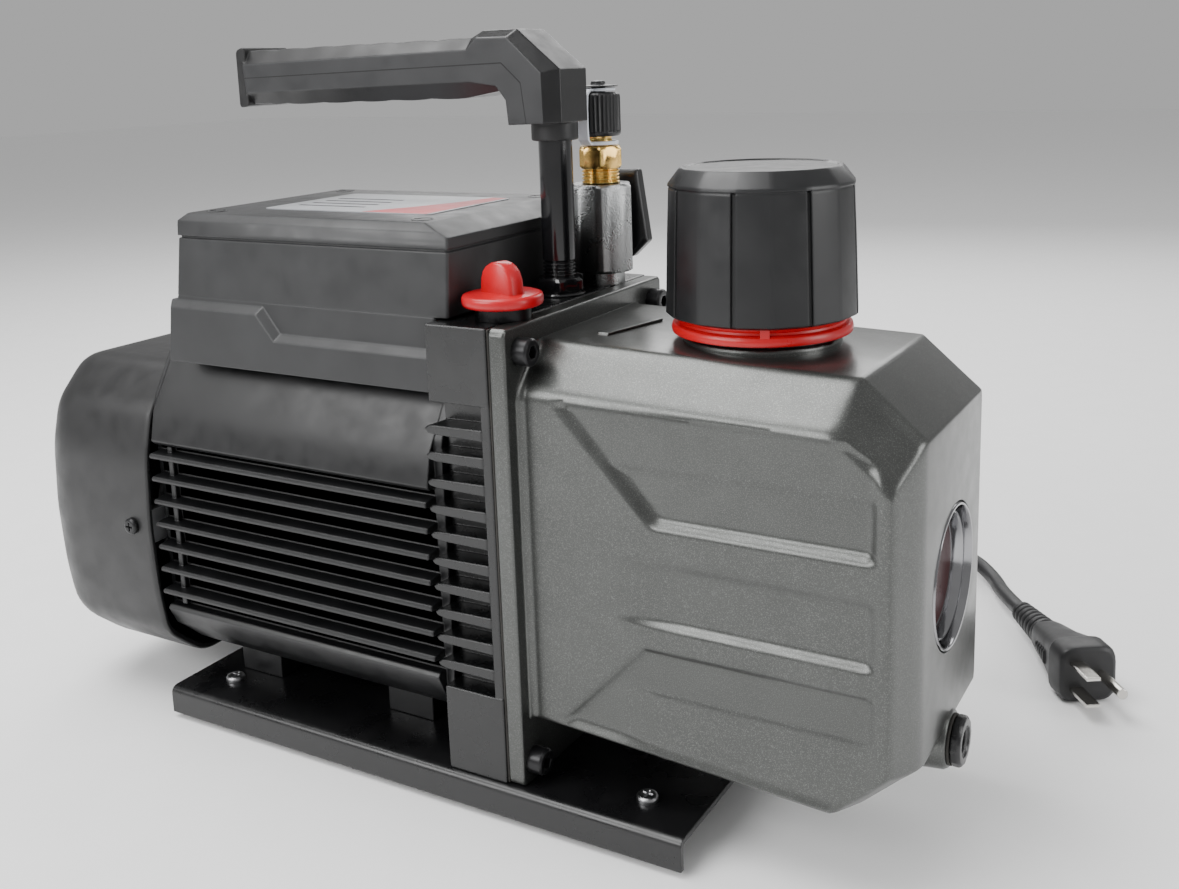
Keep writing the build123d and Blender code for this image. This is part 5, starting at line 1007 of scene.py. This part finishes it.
# ---- post, nut, grip
POST_X, POST_Y, POST_R = -4.5, 9.0, 7.1
NUT_FLATS = 19.0
THREAD_Z, THREAD_PITCH = 203.6, 1.5
post_profile = [(POST_R - 1.0, BRACKET_TOP)]
for turn in range(9):
    z = THREAD_Z + turn * THREAD_PITCH
    post_profile += [(POST_R - 0.9, z), (POST_R, z + 0.6), (POST_R, z + 0.9),
                     (POST_R - 0.9, z + 1.4)]
post_profile += [(POST_R, 218.0), (POST_R, 298.0)]
piece("post_tube", [lathe_z(post_profile, POST_X, POST_Y, 64)], "pump", "post_paint",
      ["handle_post"], angle=40.0)
nut_shapes = [lathe_z([(10.4, BRACKET_TOP), (10.6, 203.4), (10.2, 204.0), (7.2, 204.0)],
                      POST_X, POST_Y, 56),
              chamfered_hex(POST_X, POST_Y, NUT_FLATS, 204.0, 210.4, 1.2)]
piece("post_nut", nut_shapes, "pump", "post_paint", ["handle_nut"], angle=30.0)

# The grip is lofted across its width from a smaller side outline to a full one and back.
GRIP_NEAR, GRIP_FAR, GRIP_BEVEL = -6.0, 24.0, 4.6
SIDE_PICK, GLOSS_PICK, DARK_PICK = 0, 1, 2
UPPER_STEPS = 36


def scallop(part, count, depth):
    """Height of a row of shallow finger waves; part runs from 0 to 1 along it."""
    return depth * max(0.0, math.sin(math.pi * (part * count % 1.0))) ** 0.6


side_face = [(-163.0, 290.5), (-164.2, 303.2)]
full_face = [(-167.5, 284.6), (-167.5, 309.4)]
for step in range(1, UPPER_STEPS):
    t = step / UPPER_STEPS
    side_face.append((-164.2 + 127.2 * t, 303.4 + 2.6 * t))
    full_face.append((-165.5 + 128.5 * t, 309.2 + 1.2 * t + scallop(t, 7.0, 0.55)))
side_face += [(-37.0, 306.0), (-32.0, 310.6), (-17.0, 310.4), (-1.0, 295.7), (-0.6, 275.4),
              (-17.6, 274.9), (-18.5, 285.0), (-23.0, 291.0)]
full_face += [(-37.0, 310.8), (-31.0, 313.6), (-14.5, 313.6), (5.5, 297.0), (5.5, 275.4),
              (-18.0, 275.4), (-18.8, 285.8), (-24.0, 288.8)]
for step in range(UPPER_STEPS):
    t = step / (UPPER_STEPS - 1)
    wave = scallop(t, 6.0, 0.7) if t < 0.9 else 0.0
    side_face.append((-36.6 - 123.0 * t, 293.0 - 2.5 * t))
    full_face.append((-38.0 - 126.0 * t, 286.6 - 1.4 * t - wave))
grip_rings = []
for y, outline in ((GRIP_NEAR, side_face), (GRIP_NEAR + GRIP_BEVEL, full_face),
                   (GRIP_FAR - GRIP_BEVEL, full_face), (GRIP_FAR, side_face)):
    grip_rings.append([(x, y, z) for x, z in outline])
grip_points, grip_faces = loft(grip_rings)
count = len(full_face)
grip_picks = []
for face in grip_faces[:-2]:
    row = min(face) // count
    spot = face[0] % count
    at_arch = UPPER_STEPS + 1 <= spot <= UPPER_STEPS + 6
    grip_picks.append(GLOSS_PICK if at_arch and row != 1 else DARK_PICK)
grip_picks += [SIDE_PICK, SIDE_PICK]
grip_shapes = [(grip_points, grip_faces, grip_picks)]
collar_profile = [(7.3, 268.0), (9.4, 268.0), (9.8, 268.5), (9.8, 275.6), (7.3, 275.6)]
grip_shapes.append((*lathe_z(collar_profile, POST_X, POST_Y, 56), DARK_PICK))
end_cap = rounded([(-168.4, 283.6), (-162.6, 284.4), (-163.2, 311.6), (-168.4, 310.0)], 2.0)
grip_shapes.append((*along_y(end_cap, GRIP_NEAR + 0.6, GRIP_FAR - 0.6), DARK_PICK))
piece("hand_grip", grip_shapes, "pump", "grip_plastic", ["handle_grip"], bevel=0.5,
      materials=[finish["grip_plastic"], bevel_gloss, grip_dark])
seam_line = [(-163.6, 297.2), (-20.0, 300.2), (-11.0, 292.0), (-9.0, 275.6)]
seam_shapes = []
SEAM_HALF, SEAM_PROUD = 0.22, 0.05
for (xa, za), (xb, zb) in zip(seam_line, seam_line[1:]):
    strip = [(xa, za - SEAM_HALF), (xb, zb - SEAM_HALF),
             (xb + SEAM_HALF, zb + SEAM_HALF), (xa + SEAM_HALF, za + SEAM_HALF)]
    for y in (GRIP_NEAR, GRIP_FAR):
        seam_shapes.append(along_y(strip, y - SEAM_PROUD, y + SEAM_PROUD))
piece("grip_seam", seam_shapes, "pump", "grip_plastic", materials=[seam_dark])

# ---- inlet
INLET_X, INLET_Y = -0.3, 39.3
BODY_FLATS, FLARE_FLATS = 25.6, 18.2
FLARE_PITCH = 1.55
inlet_shapes = [chamfered_hex(INLET_X, INLET_Y, BODY_FLATS, 208.6, 247.2, 1.1),
                lathe_z([(9.4, BRACKET_TOP), (9.4, 208.8)], INLET_X, INLET_Y, 40)]
piece("inlet_block", inlet_shapes, "pump", "zinc_steel", ["inlet_body"], angle=30.0)
thread = [(7.2, 247.2)]
for turn in range(4):
    z = 247.5 + turn * FLARE_PITCH
    thread += [(8.2, z), (8.4, z + 0.5), (7.4, z + 1.1), (7.4, z + 1.3)]
flare_shapes = [lathe_z(thread + [(7.2, 253.9)], INLET_X, INLET_Y, 56),
                chamfered_hex(INLET_X, INLET_Y, FLARE_FLATS, 253.8, 263.4, 1.3),
                lathe_z([(5.5, 263.2), (5.5, 266.0), (5.1, 266.4), (5.4, 267.0), (5.4, 281.0)],
                        INLET_X, INLET_Y, 48)]
piece("inlet_fitting", flare_shapes, "pump", "fitting_brass", ["inlet_flare"], angle=30.0)

KNURLS, KNURL_STEPS = 30, 6


def knurled_ring(radius, depth, z):
    ring = []
    for i in range(KNURLS * KNURL_STEPS):
        a = 2 * math.pi * i / (KNURLS * KNURL_STEPS)
        r = radius - depth * (0.5 - 0.5 * math.cos(a * KNURLS)) ** 0.7
        ring.append((INLET_X + r * math.cos(a), INLET_Y + r * math.sin(a), z))
    return ring


dust_profile = [(7.0, 0.0, 267.6), (8.8, 0.0, 267.8), (9.3, 0.0, 268.6), (9.4, 0.0, 269.6),
                (9.4, 0.8, 270.0), (9.4, 0.8, 284.0), (9.2, 0.3, 285.4), (8.2, 0.0, 286.4),
                (3.2, 0.0, 286.4), (3.0, 0.0, 288.6), (8.4, 0.0, 288.7), (8.6, 0.0, 289.3),
                (3.4, 0.0, 289.8), (3.0, 0.0, 291.2), (1.0, 0.0, 291.5)]
dust_rings = [knurled_ring(*row) for row in dust_profile]
piece("dust_cap", [loft(dust_rings)], "inlet_cap", "cap_black", ["inlet_cap"], angle=35.0)

STRAP_ANGLE = math.radians(-100.0)
strap_path = [(6.4, 264.8), (9.0, 264.8), (10.6, 266.6), (10.9, 272.0), (10.9, 280.0),
              (10.4, 285.4), (8.6, 287.6), (4.4, 287.7)]
STRAP_W, STRAP_T = 5.6, 1.1
radial = Vector((math.cos(STRAP_ANGLE), math.sin(STRAP_ANGLE), 0))
across = Vector((-radial.y, radial.x, 0))
strap_rings = []
for i, (reach, z) in enumerate(strap_path):
    ahead = strap_path[min(i + 1, len(strap_path) - 1)]
    behind = strap_path[max(i - 1, 0)]
    run = Vector((ahead[0] - behind[0], 0, ahead[1] - behind[1])).normalized()
    out = (run.z, -run.x)
    ring = []
    for w, t in ((-1, -0.5), (1, -0.5), (1, 0.5), (-1, 0.5)):
        spot = Vector((INLET_X, INLET_Y, 0)) + across * (w * STRAP_W / 2)
        spot += radial * (reach + out[0] * t * STRAP_T)
        ring.append((spot.x, spot.y, z + out[1] * t * STRAP_T))
    strap_rings.append(ring)
strap_shapes = [loft(strap_rings),
                lathe_z([(5.8, 264.0), (8.2, 264.0), (8.2, 265.6), (5.8, 265.6)],
                        INLET_X, INLET_Y, 48),
                lathe_z([(3.3, 286.9), (7.4, 286.9), (7.4, 288.3), (3.3, 288.3)],
                        INLET_X, INLET_Y, 48)]
piece("dust_cap_strap", strap_shapes, "cap_strap", "strap_white", ["cap_strap"], bevel=0.3)

PIVOT_Z = 228.5
lever = [(-8.5, 251.8), (8.5, 251.8), (13.2, 219.5), (5.2, 212.0), (-5.2, 212.0),
         (-13.2, 219.5)]
LEVER_NEAR, LEVER_FAR = 56.0, 64.0
lever_rings = []
for y, keep in ((LEVER_NEAR, 0.9), (LEVER_NEAR + 1.4, 1.0), (LEVER_FAR - 2.0, 1.0),
                (LEVER_FAR, 0.84)):
    lever_rings.append([(INLET_X + x * keep, y, PIVOT_Z + (z - PIVOT_Z) * keep) for x, z in lever])
spindle = loft([[(INLET_X + a, y, PIVOT_Z + b) for a, b in polar(4.0, 32)] for y in (46.0, 57.0)])
piece("valve_lever", [loft(lever_rings), spindle], "isolation_lever", "cap_black",
      ["isolation_lever"], bevel=0.7)
